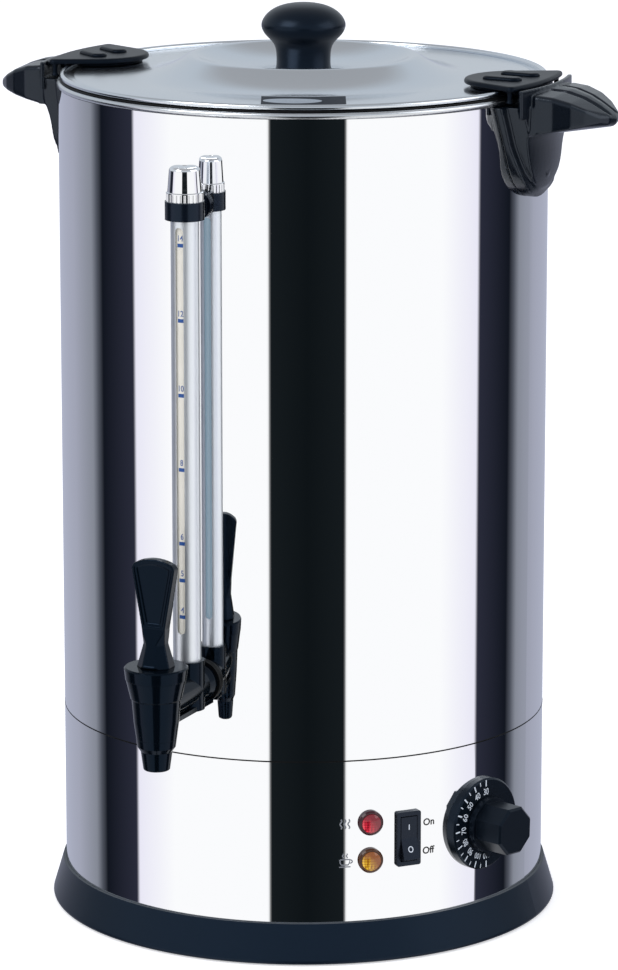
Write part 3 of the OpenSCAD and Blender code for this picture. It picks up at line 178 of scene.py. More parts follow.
ROOM_STRIPES = [
    (0.0, "0f1417"),
    (17.4, "161b1e"),
    (18.4, "ffffff"),
    (66, "ffffff"),
    (76, "f6f5fb"),
    (87.4, "edebf7"),
    (88.9, "2a2c3a"),
    (111, "12161f"),
    (115.5, "50545e"),
    (120.5, "878b96"),
    (140, "a3a6b6"),
    (180, "b4b9cc"),
]
fill_ramp(cards, [(degrees / 180, colour) for degrees, colour in ROOM_STRIPES])
ceiling = add_node(tree, "ShaderNodeValToRGB", links={"Fac": axes.outputs["Z"]})
CEILING_TONES = [(0.0, "c9cfd5"), (0.52, "c8d0d8"), (0.72, "afb1b4"), (1.0, "abadb0")]
fill_ramp(ceiling, CEILING_TONES)
over = add_node(
    tree, "ShaderNodeMapRange", {"From Min": 0.0, "From Max": HORIZON_FADE}, {"Value": axes.outputs["Z"]}
)
whole_room = add_node(
    tree,
    "ShaderNodeMix",
    {"data_type": "RGBA"},
    {0: over.outputs[0], 6: cards.outputs["Color"], 7: ceiling.outputs["Color"]},
)
rays = add_node(tree, "ShaderNodeLightPath")
mirrored = add_node(tree, "ShaderNodeBackground", {"Strength": 1.0}, {"Color": whole_room.outputs[2]})
soft_light = add_node(tree, "ShaderNodeBackground", {"Color": hex_colour("f4f6ff"), "Strength": 0.75})
white_sky = add_node(tree, "ShaderNodeBackground", {"Color": (1, 1, 1, 1), "Strength": 1.0})
lit = add_node(
    tree,
    "ShaderNodeMixShader",
    links={"Fac": rays.outputs["Is Glossy Ray"], 1: soft_light.outputs[0], 2: mirrored.outputs[0]},
)
clear_rays = add_node(
    tree,
    "ShaderNodeMath",
    {"operation": "MAXIMUM"},
    {0: rays.outputs["Is Camera Ray"], 1: rays.outputs["Is Transmission Ray"]},
)
seen = add_node(
    tree,
    "ShaderNodeMixShader",
    links={"Fac": clear_rays.outputs[0], 1: lit.outputs[0], 2: white_sky.outputs[0]},
)
add_node(tree, "ShaderNodeOutputWorld", links={"Surface": seen.outputs[0]})
bpy.context.scene.view_settings.view_transform = "Standard"
print("room stripes:", len(ROOM_STRIPES))

# %% [markdown]
# Two wide lamps add the direction that the even sky lacks, so that the knob, the tap and the handles
# get a lit and a shaded side. They hang high, so the upright wall can't mirror them towards the camera,
# while the plastics' rounded edges catch them as soft highlights.

# %% Lamps
URN_MIDDLE = Vector((0, 0, 0.25))


def soft_box(name, azimuth, distance, height, size, watts):
    """A square lamp, placed in degrees and metres, that looks at the urn's middle."""
    data = bpy.data.lights.new(name, "AREA")
    data.shape, data.size, data.energy = "SQUARE", size, watts
    lamp = put_in_scene(name, data)
    a = math.radians(azimuth)
    lamp.location = (distance * math.sin(a), -distance * math.cos(a), height)
    lamp.rotation_euler = (URN_MIDDLE - lamp.location).to_track_quat("-Z", "Y").to_euler()
    return lamp


key_lamp = soft_box("key_lamp", azimuth=-25, distance=1.6, height=1.7, size=1.2, watts=14)
fill_lamp = soft_box("fill_lamp", azimuth=95, distance=1.8, height=1.2, size=1.4, watts=7)
print("lamps:", key_lamp.data.energy, "and", fill_lamp.data.energy, "W")

# %% [markdown]
# The floor is a pale sheet. It adds a little of its own white where the camera looks, which brings it
# to the white of the sky but leaves the shadow under the urn. The wall must not mirror its edge.

# %% Floor
FLOOR_HALF = 6.0
sheet_mesh = bpy.data.meshes.new("pale_floor")
sheet_corners = [(x * FLOOR_HALF, y * FLOOR_HALF, 0) for x, y in ((-1, -1), (1, -1), (1, 1), (-1, 1))]
sheet_mesh.from_pydata(sheet_corners, [], [(0, 1, 2, 3)])
floor = put_in_scene("pale_floor", sheet_mesh)
floor.visible_glossy = False
pale_sheet, tree = new_material("pale_paper_sheet")
paper = add_node(tree, "ShaderNodeBsdfDiffuse", {"Color": hex_colour("f3f3f5")})
lift = add_node(tree, "ShaderNodeEmission", {"Color": (1, 1, 1, 1), "Strength": 0.5})
both = add_node(tree, "ShaderNodeAddShader", links={0: paper.outputs[0], 1: lift.outputs[0]})
rays = add_node(tree, "ShaderNodeLightPath")
seen = add_node(
    tree,
    "ShaderNodeMixShader",
    links={"Fac": rays.outputs["Is Camera Ray"], 1: paper.outputs[0], 2: both.outputs[0]},
)
finish_material(tree, seen)
sheet_mesh.materials.append(pale_sheet)
print("floor of", 2 * FLOOR_HALF, "m")

# %% [markdown]
# ## Metals
# The wall and the band are stainless steel sheet, drawn and then buffed to a mirror. What is left of
# the buffing is a very fine horizontal grain, which blurs the mirror image a little upwards and
# downwards only. A metal keeps the default IOR, and its colour is its reflection.

# %% Metals
POLISH_SPREAD = 0.15


def buffed_metal(name, colour, roughness, grain_mm=0.25, grain_depth=0.02, across="Z"):
    """A metal with fine grain lines across one axis, whose polish changes a little from place to place."""
    material, tree = new_material(name)
    place = add_node(tree, "ShaderNodeTexCoord")
    stretch = [4.0, 4.0, 4.0]
    stretch["XYZ".index(across)] = 1 / (grain_mm * MM)
    grain_space = add_node(
        tree, "ShaderNodeMapping", {"Scale": tuple(stretch)}, {"Vector": place.outputs["Object"]}
    )
    grain = add_node(
        tree, "ShaderNodeTexNoise", {"Scale": 1.0, "Detail": 2.0}, {"Vector": grain_space.outputs[0]}
    )
    cloud = add_node(
        tree, "ShaderNodeTexNoise", {"Scale": 18.0, "Detail": 3.0}, {"Vector": place.outputs["Object"]}
    )
    polish = add_node(
        tree,
        "ShaderNodeMapRange",
        {"To Min": roughness * (1 - POLISH_SPREAD), "To Max": roughness * (1 + POLISH_SPREAD)},
        {"Value": cloud.outputs["Fac"]},
    )
    relief = add_node(
        tree,
        "ShaderNodeBump",
        {"Strength": grain_depth, "Distance": 0.02 * MM},
        {"Height": grain.outputs["Fac"]},
    )
    metal = add_node(
        tree,
        "ShaderNodeBsdfPrincipled",
        {"Base Color": hex_colour(colour), "Metallic": 1.0},
        {"Roughness": polish.outputs[0], "Normal": relief.outputs[0]},
    )
    finish_material(tree, metal)
    return material


mirror_steel = buffed_metal("mirror_polished_stainless_steel", "fafbfd", 0.015, grain_depth=0.008)
lid_steel = buffed_metal("satin_stainless_steel", "dfe4ea", 0.16, grain_mm=0.4, grain_depth=0.05, across="X")
tank_steel = buffed_metal("deep_drawn_stainless_steel", "d9dce0", 0.22)
guard_aluminium = buffed_metal(
    "anodised_aluminium_tube", "f0f4f9", 0.42, grain_mm=0.3, grain_depth=0.1, across="X"
)
bright_chrome = buffed_metal("bright_chrome_plate", "f7f8fa", 0.02)
plated_steel = buffed_metal("zinc_plated_steel", "c3c7cc", 0.28)
cast_aluminium = buffed_metal("cast_aluminium", "c2c4c8", 0.42, grain_depth=0.3)
heated_sheath = buffed_metal("heat_stained_steel", "7c7672", 0.38)
drawn_brass = buffed_metal("drawn_brass", "c9a25e", 0.25)
nickel_brass = buffed_metal("nickel_plated_brass", "d0d0cd", 0.2)
galvanised_sheet = buffed_metal("galvanised_sheet", "b4b8bb", 0.4, grain_depth=0.3)
print("materials after the metals:", len(bpy.data.materials))

# %% [markdown]
# ## Plastics and rubbers
# The black pieces are moulded: the base ring and the handles in a heat-proof nylon with a fine spark
# texture, the tap in a glossy grade. Black plastic shows its form by its shine alone, so the
# roughness and the small rounding of each edge matter more than the colour. The Bevel node
# gives the rounding that a mould leaves, about a third of a millimetre. These blacks look blue and
# deep in the photograph, so most of them mirror less than the usual Specular IOR Level of 0.5, and in
# a cold tint. The IOR itself stays at 1.5, which is close to that of nylon.

# %% Moulded plastics
GRIT_MM = 0.35
SHEEN_SPREAD = 0.12


def moulded(name, colour, roughness, grit_depth=0.1, edge_mm=0.35, shine=0.5, tint="ffffff"):
    """A moulded plastic with a fine surface texture and softened edges. tint colours its shine."""
    material, tree = new_material(name)
    place = add_node(tree, "ShaderNodeTexCoord")
    grit = add_node(
        tree,
        "ShaderNodeTexNoise",
        {"Scale": 1 / (GRIT_MM * MM) / 2, "Detail": 2.0},
        {"Vector": place.outputs["Object"]},
    )
    rounded = add_node(tree, "ShaderNodeBevel", {"samples": 4, "Radius": edge_mm * MM})
    relief = add_node(
        tree,
        "ShaderNodeBump",
        {"Strength": grit_depth, "Distance": 0.05 * MM},
        {"Height": grit.outputs["Fac"], "Normal": rounded.outputs[0]},
    )
    handled = add_node(
        tree, "ShaderNodeTexNoise", {"Scale": 25.0, "Detail": 2.0}, {"Vector": place.outputs["Object"]}
    )
    sheen = add_node(
        tree,
        "ShaderNodeMapRange",
        {"To Min": roughness * (1 - SHEEN_SPREAD), "To Max": roughness * (1 + SHEEN_SPREAD)},
        {"Value": handled.outputs["Fac"]},
    )
    plastic = add_node(
        tree,
        "ShaderNodeBsdfPrincipled",
        {
            "Base Color": hex_colour(colour),
            "IOR": 1.5,
            "Specular IOR Level": shine,
            "Specular Tint": hex_colour(tint),
        },
        {"Roughness": sheen.outputs[0], "Normal": relief.outputs[0]},
    )
    finish_material(tree, plastic)
    return material


base_nylon = moulded("base_ring_nylon", "0e1925", 0.3, edge_mm=0.4, shine=0.28, tint="b4d2f8")
handle_nylon = moulded("handle_nylon", "0b1119", 0.22, grit_depth=0.05, edge_mm=0.3, tint="dce9fa")
lock_nylon = moulded(
    "lid_lock_nylon", "080d14", 0.34, grit_depth=0.04, edge_mm=0.3, shine=0.16, tint="bcd8ff"
)
knob_phenolic = moulded("lid_knob_phenolic", "060e17", 0.3, grit_depth=0.05, shine=0.3, tint="bcd8ff")
tap_gloss = moulded(
    "tap_glossy_plastic", "04090f", 0.12, grit_depth=0.02, edge_mm=0.5, shine=0.2, tint="a2cbff"
)
dial_gloss = moulded("dial_glossy_plastic", "0a1118", 0.22, grit_depth=0.04, shine=0.35, tint="bcd8ff")
grip_satin = moulded("dial_knob_satin_plastic", "0a1017", 0.3, grit_depth=0.06, shine=0.3, tint="bcd8ff")
switch_satin = moulded("switch_satin_plastic", "12151b", 0.26, grit_depth=0.06, shine=0.4, tint="c8dcff")
clip_nylon = moulded("clip_nylon", "0a1019", 0.22, grit_depth=0.04, shine=0.36, tint="bcd8ff")
black_rubber = moulded("black_rubber", "060709", 0.5, grit_depth=0.2, shine=0.2)
red_rim = moulded("dark_red_polycarbonate", "3a0f1a", 0.12, grit_depth=0.0)
amber_rim = moulded("dark_amber_polycarbonate", "4a260c", 0.12, grit_depth=0.0)
# Black for the thin ring of painted shade in the seam's groove.
seam_shade_black = moulded("painted_seam_shade", "050608", 0.35, grit_depth=0.0, shine=0.15)
seal_silicone = moulded("red_silicone_rubber", "8a3b2e", 0.5)
cup_silicone = moulded("translucent_silicone", "d8d2c4", 0.45)
control_nylon = moulded("ivory_control_nylon", "e4dfd2", 0.45)
print("materials after the plastics and rubbers:", len(bpy.data.materials))

# %% [markdown]
# ## Lenses and glass
# The pilot lamps have coloured caps whose back is moulded into rows of small pyramids, so a lamp looks
# like a field of bright dots with a dark rim. Round spots in an even grid stand in for the pyramids. The
# lens glows with painted light: the spots are lit up most round one point on the tap's side, a painted
# highlight where light falls on the lens.
# The gauge's tube is borosilicate glass, with an IOR of 1.47.

# %% Pilot lamp lenses
DOT_MM = 1.5
PAINTED_GLOW_CORE_MM, PAINTED_GLOW_EDGE_MM = 1.5, 8.5


def pilot_lens(name, deep, bright, middle):
    """A coloured lens whose grid of dots glows with painted light, brightest round a middle on the tap's
    side.
    """
    material, tree = new_material(name)
    place = add_node(tree, "ShaderNodeTexCoord")
    from_painted_glow = add_node(
        tree,
        "ShaderNodeVectorMath",
        {"operation": "DISTANCE", 1: tuple(v * MM for v in middle)},
        {0: place.outputs["Object"]},
    )
    painted_glow = add_node(
        tree,
        "ShaderNodeMapRange",
        {"From Min": PAINTED_GLOW_CORE_MM * MM, "From Max": PAINTED_GLOW_EDGE_MM * MM, "To Min": 1.0, "To Max": 0.0},
        {"Value": from_painted_glow.outputs["Value"]},
    )
    cells = add_node(
        tree,
        "ShaderNodeTexVoronoi",
        {"Scale": 1 / (DOT_MM * MM), "Randomness": 0.0, "feature": "F1"},
        {"Vector": place.outputs["Object"]},
    )
    spots = add_node(
        tree,
        "ShaderNodeMapRange",
        {"From Min": 0.25, "From Max": 0.75, "To Min": 1.0, "To Max": 0.0},
        {"Value": cells.outputs["Distance"]},
    )
    painted_lit_dots = add_node(
        tree, "ShaderNodeMath", {"operation": "MULTIPLY"}, {0: spots.outputs[0], 1: painted_glow.outputs[0]}
    )
    tint = add_node(
        tree,
        "ShaderNodeMix",
        {"data_type": "RGBA", 6: hex_colour(deep), 7: hex_colour(bright)},
        {0: painted_lit_dots.outputs[0]},
    )
    lens = add_node(
        tree,
        "ShaderNodeBsdfPrincipled",
        {"Roughness": 0.12, "IOR": 1.49, "Coat Weight": 0.6, "Emission Strength": 0.35},
        {"Base Color": tint.outputs[2], "Emission Color": tint.outputs[2]},
    )
    finish_material(tree, lens)
    return material


# Where the painted glow on each lens is brightest, in millimetres.
PAINTED_GLOW_X, PAINTED_GLOW_Y, RED_PAINTED_GLOW_Z, AMBER_PAINTED_GLOW_Z = 84.2, -109.0, 75.4, 53.9
red_lens = pilot_lens("red_lens_with_painted_glow", "6e0a1a", "ff3a4e", (PAINTED_GLOW_X, PAINTED_GLOW_Y, RED_PAINTED_GLOW_Z))
amber_lens = pilot_lens("amber_lens_with_painted_glow", "7e430c", "ffd23c", (PAINTED_GLOW_X, PAINTED_GLOW_Y, AMBER_PAINTED_GLOW_Z))

clear_glass, tree = new_material("borosilicate_glass")
tube = add_node(
    tree,
    "ShaderNodeBsdfPrincipled",
    {"Base Color": hex_colour("f2f8f7"), "Roughness": 0.02, "IOR": 1.47, "Transmission Weight": 1.0},
)
finish_material(tree, tube)
print("materials after the lenses and the glass:", len(bpy.data.materials))

# %% [markdown]
# ## Which piece wears which finish
# Each solid keeps its shape and gets one material. The table reads like the urn's parts list.

# %% Finishes of the solids
WEARS = {
    mirror_steel: ["outer_wall", "lower_band"],
    lid_steel: ["lid_shell"],
    tank_steel: ["tank"],
    guard_aluminium: ["gauge_guard"],
    bright_chrome: ["gauge_cap"],
    plated_steel: [
        "base_screws", "thermostat_nut", "inlet_screws", "handle_screws", "tap_nut", "bracket_screw",
        "knob_screw", "lock_screws", "lever_pin", "thermostat_shaft",
    ],
    cast_aluminium: ["heater_plate"],
    heated_sheath: ["heater_element"],
    drawn_brass: ["thermostat_bulb", "switch_terminals", "tap_stem"],
    nickel_brass: ["inlet_pins"],
    galvanised_sheet: ["base_plate"],
    base_nylon: ["base_ring"],
    handle_nylon: ["handle_left", "handle_right"],
    lock_nylon: ["lid_lock_left", "lid_lock_right"],
    knob_phenolic: ["lid_knob"],
    tap_gloss: ["tap_body", "tap_spout", "tap_bonnet", "tap_lever"],
    dial_gloss: ["dial_plate"],
    grip_satin: ["thermostat_knob"],
    switch_satin: ["switch_housing", "rocker", "power_inlet"],
    red_rim: ["red_lamp_body"],
    amber_rim: ["amber_lamp_body"],
    clip_nylon: ["gauge_bracket"],
    black_rubber: ["skid_ring", "tap_wall_washer", "gauge_lower_seal", "gauge_upper_seal", "lid_gasket"],
    seal_silicone: ["tap_inner_seal"],
    cup_silicone: ["seat_cup"],
    control_nylon: ["thermal_cutouts", "thermostat_body", "terminal_block"],
    red_lens: ["red_lamp_lens"],
    amber_lens: ["amber_lamp_lens"],
    clear_glass: ["gauge_glass"],
}
dressed = set()
for material, wearers in WEARS.items():
    for name in wearers:
        mesh = nodes[name].data
        mesh.materials.clear()
        mesh.materials.append(material)
        dressed.add(name)
print("dressed:", len(dressed), "of", len(nodes), "left:", sorted(set(nodes) - dressed))

# %% [markdown]
# ## Printed marks
# The dial's figures, the level marks on the gauge and the marks beside the switch are ink: far thinner
# than a solid, so they are drawn here as thin sheets that lie a few hundredths of a millimetre above
# the surface they are printed on. One helper lays flat outlines onto any surface, given as a function
# from flat x and y to a point in space.

# %% A helper that lays ink on a surface
def wall_frame(azimuth, height, radius):
    """The place on a wall: x to the right as seen from outside, y up, z straight out."""
    a = math.radians(azimuth)
    out = Vector((math.sin(a), -math.cos(a), 0))
    right = Vector((math.cos(a), math.sin(a), 0))
    return Matrix.Translation(out * radius * MM + Vector((0, 0, height * MM))) @ Matrix(
        ((right.x, 0, out.x, 0), (right.y, 0, out.y, 0), (0, 1, 0, 0), (0, 0, 0, 1))
    )


def evaluated_mesh(piece):
    """A new mesh of what a piece looks like with its modifiers or its text worked out."""
    return bpy.data.meshes.new_from_object(piece.evaluated_get(bpy.context.evaluated_depsgraph_get()))


def figure_outline(text, size_mm, squeeze=1.0, bolder=0.0):
    """A figure or a word as flat faces, centred on its own box, in millimetres, thickened for bold print."""
    curve = bpy.data.curves.new("figure", "FONT")
    curve.body, curve.size, curve.resolution_u = text, size_mm, 3
    curve.offset = bolder * size_mm
    holder = put_in_scene("figure", curve)
    bpy.context.view_layer.update()
    mesh = evaluated_mesh(holder)
    points = [v.co.xy.copy() for v in mesh.vertices]
    across = [p.x for p in points]
    upwards = [p.y for p in points]
    middle = Vector(((min(across) + max(across)) / 2, (min(upwards) + max(upwards)) / 2))
    flat = [((p.x - middle.x) * squeeze, p.y - middle.y) for p in points]
    faces = [tuple(f.vertices) for f in mesh.polygons]
    bpy.data.objects.remove(holder)
    bpy.data.curves.remove(curve)
    bpy.data.meshes.remove(mesh)
    return flat, faces


def bar_outline(x, y, width, height, turn=0.0, parts=6):
    """A bar about a centre, cut into parts so that it can bend with the surface."""
    c, s = math.cos(turn), math.sin(turn)
    points, faces = [], []
    for i in range(parts + 1):
        u = width * (i / parts - 0.5)
        for v in (-height / 2, height / 2):
            points.append((x + u * c - v * s, y + u * s + v * c))
    for i in range(parts):
        faces.append((2 * i, 2 * i + 2, 2 * i + 3, 2 * i + 1))
    return points, faces


def line_outline(path, width):
    """A line of even width along a path of points."""
    points, faces = [], []
    for i, (x, y) in enumerate(path):
        ax, ay = path[max(i - 1, 0)]
        bx, by = path[min(i + 1, len(path) - 1)]
        length = math.hypot(bx - ax, by - ay) or 1
        nx, ny = -(by - ay) / length * width / 2, (bx - ax) / length * width / 2
        points += [(x - nx, y - ny), (x + nx, y + ny)]
    for i in range(len(path) - 1):
        faces.append((2 * i, 2 * i + 2, 2 * i + 3, 2 * i + 1))
    return points, faces


def moved(outline, x, y, turn=0.0):
    """An outline turned about its own origin and moved."""
    c, s = math.cos(turn), math.sin(turn)
    return [(x + px * c - py * s, y + px * s + py * c) for px, py in outline[0]], outline[1]


def print_ink(name, outlines, surface, ink, body):
    """Lays outlines onto a surface as one piece of ink that moves with a body."""
    points, faces = [], []
    for flat, flat_faces in outlines:
        start = len(points)
        points += [surface(x, y) for x, y in flat]
        faces += [tuple(start + i for i in face) for face in flat_faces]
    mesh = bpy.data.meshes.new(name)
    mesh.from_pydata(points, [], faces)
    mesh.materials.append(ink)
    piece = put_in_scene(name, mesh)
    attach(piece, body)
    print(name, "has", len(faces), "faces")
    return piece


def printing_ink(name, colour, roughness=0.45, shine=0.5):
    """Screen-printing ink, slightly uneven in cover as it dries."""
    material, tree = new_material(name)
    place = add_node(tree, "ShaderNodeTexCoord")
    cover = add_node(
        tree, "ShaderNodeTexNoise", {"Scale": 2500.0, "Detail": 2.0}, {"Vector": place.outputs["Object"]}
    )
    dried = add_node(
        tree,
        "ShaderNodeMapRange",
        {"To Min": roughness - 0.1, "To Max": roughness + 0.1},
        {"Value": cover.outputs["Fac"]},
    )
    film = add_node(
        tree,
        "ShaderNodeBsdfPrincipled",
        {"Base Color": hex_colour(colour), "Specular IOR Level": shine},
        {"Roughness": dried.outputs[0]},
    )
    finish_material(tree, film)
    return material


pale_ink = printing_ink("pale_dial_ink", "dfe8f0")
black_ink = printing_ink("black_panel_ink", "0c0c0e")
grey_ink = printing_ink("grey_panel_ink", "7c8086")
blue_ink = printing_ink("blue_gauge_ink", "1d4f96")

# %% [markdown]
# ### The thermostat's dial
# A black disc with a mark for every 5 degrees Celsius and a figure for every 10, from 30 to 110. The
# figures stand with their feet towards the knob, so they turn with the dial's edge.

# %% Dial figures
WALL_R = 137.0
DIAL_AZIMUTH, CONTROL_HEIGHT, DIAL_FACE = 70.2, 68.0, WALL_R + 3.8
MARK_COUNT, FIRST_MARK_DEGREES, MARK_STEP_DEGREES = 17, 90.6, 11.25
LONG_MARK, SHORT_MARK = (3.6, 0.85, 23.4), (2.3, 0.55, 24.0)
FIGURE_RING, FIGURE_MM, SMALL_FIGURE_MM = 18.6, 5.2, 4.5
dial_face = wall_frame(DIAL_AZIMUTH, CONTROL_HEIGHT, DIAL_FACE + 0.03)


def on_dial(x, y):
    return dial_face @ Vector((x * MM, y * MM, 0))


marks = []
for step in range(MARK_COUNT):
    turn = math.radians(FIRST_MARK_DEGREES + MARK_STEP_DEGREES * step)
    c, s = math.cos(turn), math.sin(turn)
    main = step % 2 == 0
    length, thick, ring = LONG_MARK if main else SHORT_MARK
    marks.append(bar_outline(ring * c, ring * s, length, thick, turn, parts=1))
    if main:
        celsius = 30 + 5 * step
        figure = figure_outline(str(celsius), FIGURE_MM if celsius < 100 else SMALL_FIGURE_MM, 0.84, 0.012)
        marks.append(moved(figure, FIGURE_RING * c, FIGURE_RING * s, turn - math.pi / 2))
print_ink("dial_figures", marks, on_dial, pale_ink, "urn")

# %% [markdown]
# ### The marks beside the switch and the lamps
# The switch says On and Off. The two lamps get signs that anyone can read: rising heat for the red
# one and a warm cup for the amber one. The ink bends with the band, so each point is laid on the
# cylinder by its angle.

# %% Panel print
INK_LIFT = 0.04
WORDS_AZIMUTH, ON_Z, OFF_Z = 54.3, 75.5, 59.2
SIGNS_AZIMUTH, HEAT_Z, CUP_Z = 33.5, 76.2, 55.4


def on_band(x, y):
    """x is measured along the band's curve from azimuth 0, y upwards."""
    a = x / WALL_R
    r = (WALL_R + INK_LIFT) * MM
    return Vector((r * math.sin(a), -r * math.cos(a), y * MM))


def along(azimuth):
    """How far round the band an azimuth lies."""
    return WALL_R * math.radians(azimuth)


words = [
    moved(figure_outline(word, 5.6, bolder=0.022), along(WORDS_AZIMUTH), height)
    for word, height in (("On", ON_Z), ("Off", OFF_Z))
]
print_ink("switch_words", words, on_band, black_ink, "urn")


def wave(x, y, height, sway=0.5, width=0.75):
    """A rising wave of one turn and a half, the sign for heat."""
    path = [(x + sway * math.sin(2 * math.pi * t / 12 * 1.5), y + height * t / 12) for t in range(13)]
    return line_outline(path, width)


signs_x = along(SIGNS_AZIMUTH)
heat_sign = [wave(signs_x + 2.2 * i, HEAT_Z, 5.4) for i in (-1, 0, 1)]
cup_path = [(-2.8, 3.2), (-2.6, 1.2), (-1.8, 0.1), (1.8, 0.1), (2.6, 1.2), (2.8, 3.2), (-2.8, 3.2)]
ear_turns = [math.radians(a) for a in range(10, 171, 20)]
ear_path = [(2.7 + 1.5 * math.sin(a), 2.0 + 1.0 * math.cos(a)) for a in ear_turns]
cup_sign = [
    moved(line_outline(cup_path, 0.7), signs_x, CUP_Z),
    moved(line_outline(ear_path, 0.65), signs_x, CUP_Z),
    bar_outline(signs_x, CUP_Z - 1.0, 6.4, 0.65),
    wave(signs_x - 1.1, CUP_Z + 4.0, 2.6, 0.3, 0.6),
    wave(signs_x + 1.1, CUP_Z + 4.0, 2.6, 0.3, 0.6),
]
print_ink("lamp_signs", heat_sign + cup_sign, on_band, grey_ink, "urn")

# %% [markdown]
# ### The rocker's marks
# A bar for on and a ring for off, moulded into the rocker and filled with white. They tip with it.
# The rocker's face is a shallow V, so the ink's height grows away from its middle.

# %% Rocker marks
SWITCH_AZIMUTH, ROCKER_TILT = 48.7, math.radians(10)
ROCKER_MIDDLE, MARK_OFFSET = 2.15, 6.2
rocker_frame = wall_frame(SWITCH_AZIMUTH, CONTROL_HEIGHT, WALL_R) @ Matrix.Rotation(-ROCKER_TILT, 4, "X")


def on_rocker(x, y):
    """x to the right on the rocker's face, y upwards from its middle."""
    height = ROCKER_MIDDLE + INK_LIFT + abs(y) * math.tan(ROCKER_TILT)
    return rocker_frame @ Vector((x * MM, y * MM, height * MM))


ring_turns = [math.radians(a) for a in range(0, 361, 20)]
ring_path = [(1.3 * math.cos(a), -MARK_OFFSET + 1.5 * math.sin(a)) for a in ring_turns]
rocker_marks = [bar_outline(0, MARK_OFFSET, 0.55, 3.0, parts=1), line_outline(ring_path, 0.5)]
print_ink("rocker_marks", rocker_marks, on_rocker, pale_ink, "power_rocker")

# %% [markdown]
# ### The gauge's scale
# Behind the slot of the guard tube lies a glass tube with a cream film round it. The film is a curved
# sheet with a shader for each face.
# The polished wall mirrors the film's back through the glass tube. Too little light gets there and
# out again in the few bounces of a render, so the back is given painted light: a faint grey-blue glow
# that stands in for the missing light.

# %% The film on the glass
GAUGE_Y = -155.5 * MM
FILM_RADIUS, FILM_HALF_DEGREES, FILM_COLUMNS = 6.25, 95, 24
FILM_LOW_Z, FILM_TOP_Z = 186.0, 418.0


def on_film(x, y, radius=FILM_RADIUS + INK_LIFT):
    """x is measured round the film from its front line, y upwards."""
    a = x / FILM_RADIUS
    return Vector((radius * MM * math.sin(a), GAUGE_Y - radius * MM * math.cos(a), y * MM))


film_mesh = bpy.data.meshes.new("scale_film")
film_points = []
for y in (FILM_LOW_Z, FILM_TOP_Z):
    for i in range(FILM_COLUMNS + 1):
        turn = math.radians(-FILM_HALF_DEGREES + 2 * FILM_HALF_DEGREES * i / FILM_COLUMNS)
        film_points.append(on_film(FILM_RADIUS * turn, y, FILM_RADIUS))
upper = FILM_COLUMNS + 1
film_faces = [(i, i + 1, upper + i + 1, upper + i) for i in range(FILM_COLUMNS)]
film_mesh.from_pydata(film_points, [], film_faces)
scale_film = put_in_scene("scale_film", film_mesh)
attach(scale_film, "urn")
for face in film_mesh.polygons:
    face.use_smooth = True
cream_film, tree = new_material("cream_polyester_film")
place = add_node(tree, "ShaderNodeTexCoord")
fibre = add_node(
    tree, "ShaderNodeTexNoise", {"Scale": 60.0, "Detail": 3.0}, {"Vector": place.outputs["Object"]}
)
tone = add_node(
    tree,
    "ShaderNodeMix",
    {"data_type": "RGBA", 6: hex_colour("dedbcc"), 7: hex_colour("efeadd")},
    {0: fibre.outputs["Fac"]},
)
film_front = add_node(
    tree,
    "ShaderNodeBsdfPrincipled",
    {"Roughness": 0.25, "Coat Weight": 0.8, "Coat Roughness": 0.03},
    {"Base Color": tone.outputs[2]},
)
# The back's emission is painted light, a faint glow in place of the light that the render misses.
film_back_painted_glow = add_node(
    tree,
    "ShaderNodeBsdfPrincipled",
    {
        "Base Color": hex_colour("aab6c4"),
        "Roughness": 0.2,
        "Emission Color": hex_colour("8f9dad"),
        "Emission Strength": 0.9,
    },
)
side_seen = add_node(tree, "ShaderNodeNewGeometry")
film_shader = add_node(
    tree,
    "ShaderNodeMixShader",
    links={"Fac": side_seen.outputs["Backfacing"], 1: film_front.outputs[0], 2: film_back_painted_glow.outputs[0]},
)
finish_material(tree, film_shader)
film_mesh.materials.append(cream_film)
print("film of", FILM_TOP_Z - FILM_LOW_Z, "mm")

# %% [markdown]
# The film is printed in blue with a bar and a figure at each level. The bars stand where the tank
# holds that many litres: the tank is 250 mm across, so each litre is 20.4 mm of height above its floor.

# %% Level marks
LITRES = [4, 5, 6, 8, 10, 12, 14]
TANK_FLOOR, TANK_R = 118.0, 125
MARK_X, FIGURE_RISE = 0.3, 3.9
scale_marks = []
for litres in LITRES:
    level = TANK_FLOOR + litres * 1e6 / (math.pi * TANK_R**2)
    scale_marks.append(bar_outline(MARK_X, level, 3.6, 2.0))
    scale_marks.append(moved(figure_outline(str(litres), 4.6, 0.8, 0.01), MARK_X, level + FIGURE_RISE))
print_ink("scale_marks", scale_marks, on_film, blue_ink, "urn")

# %% [markdown]
# ## Turned pieces
# The lid's pressing, its gasket, the knob and the thin black ring of painted shade at the seam are all
# turned about the urn's axis. The CAD solids have the right size, but mirror-like steel shows every flat
# of a coarse turning, so these pieces are made again here: one section line, spun in 288 steps, or 128
# for the small knob, with smooth normals except where the section has a real corner.

# %% A helper that turns a section about the axis
CORNER_DEGREES = 35.0


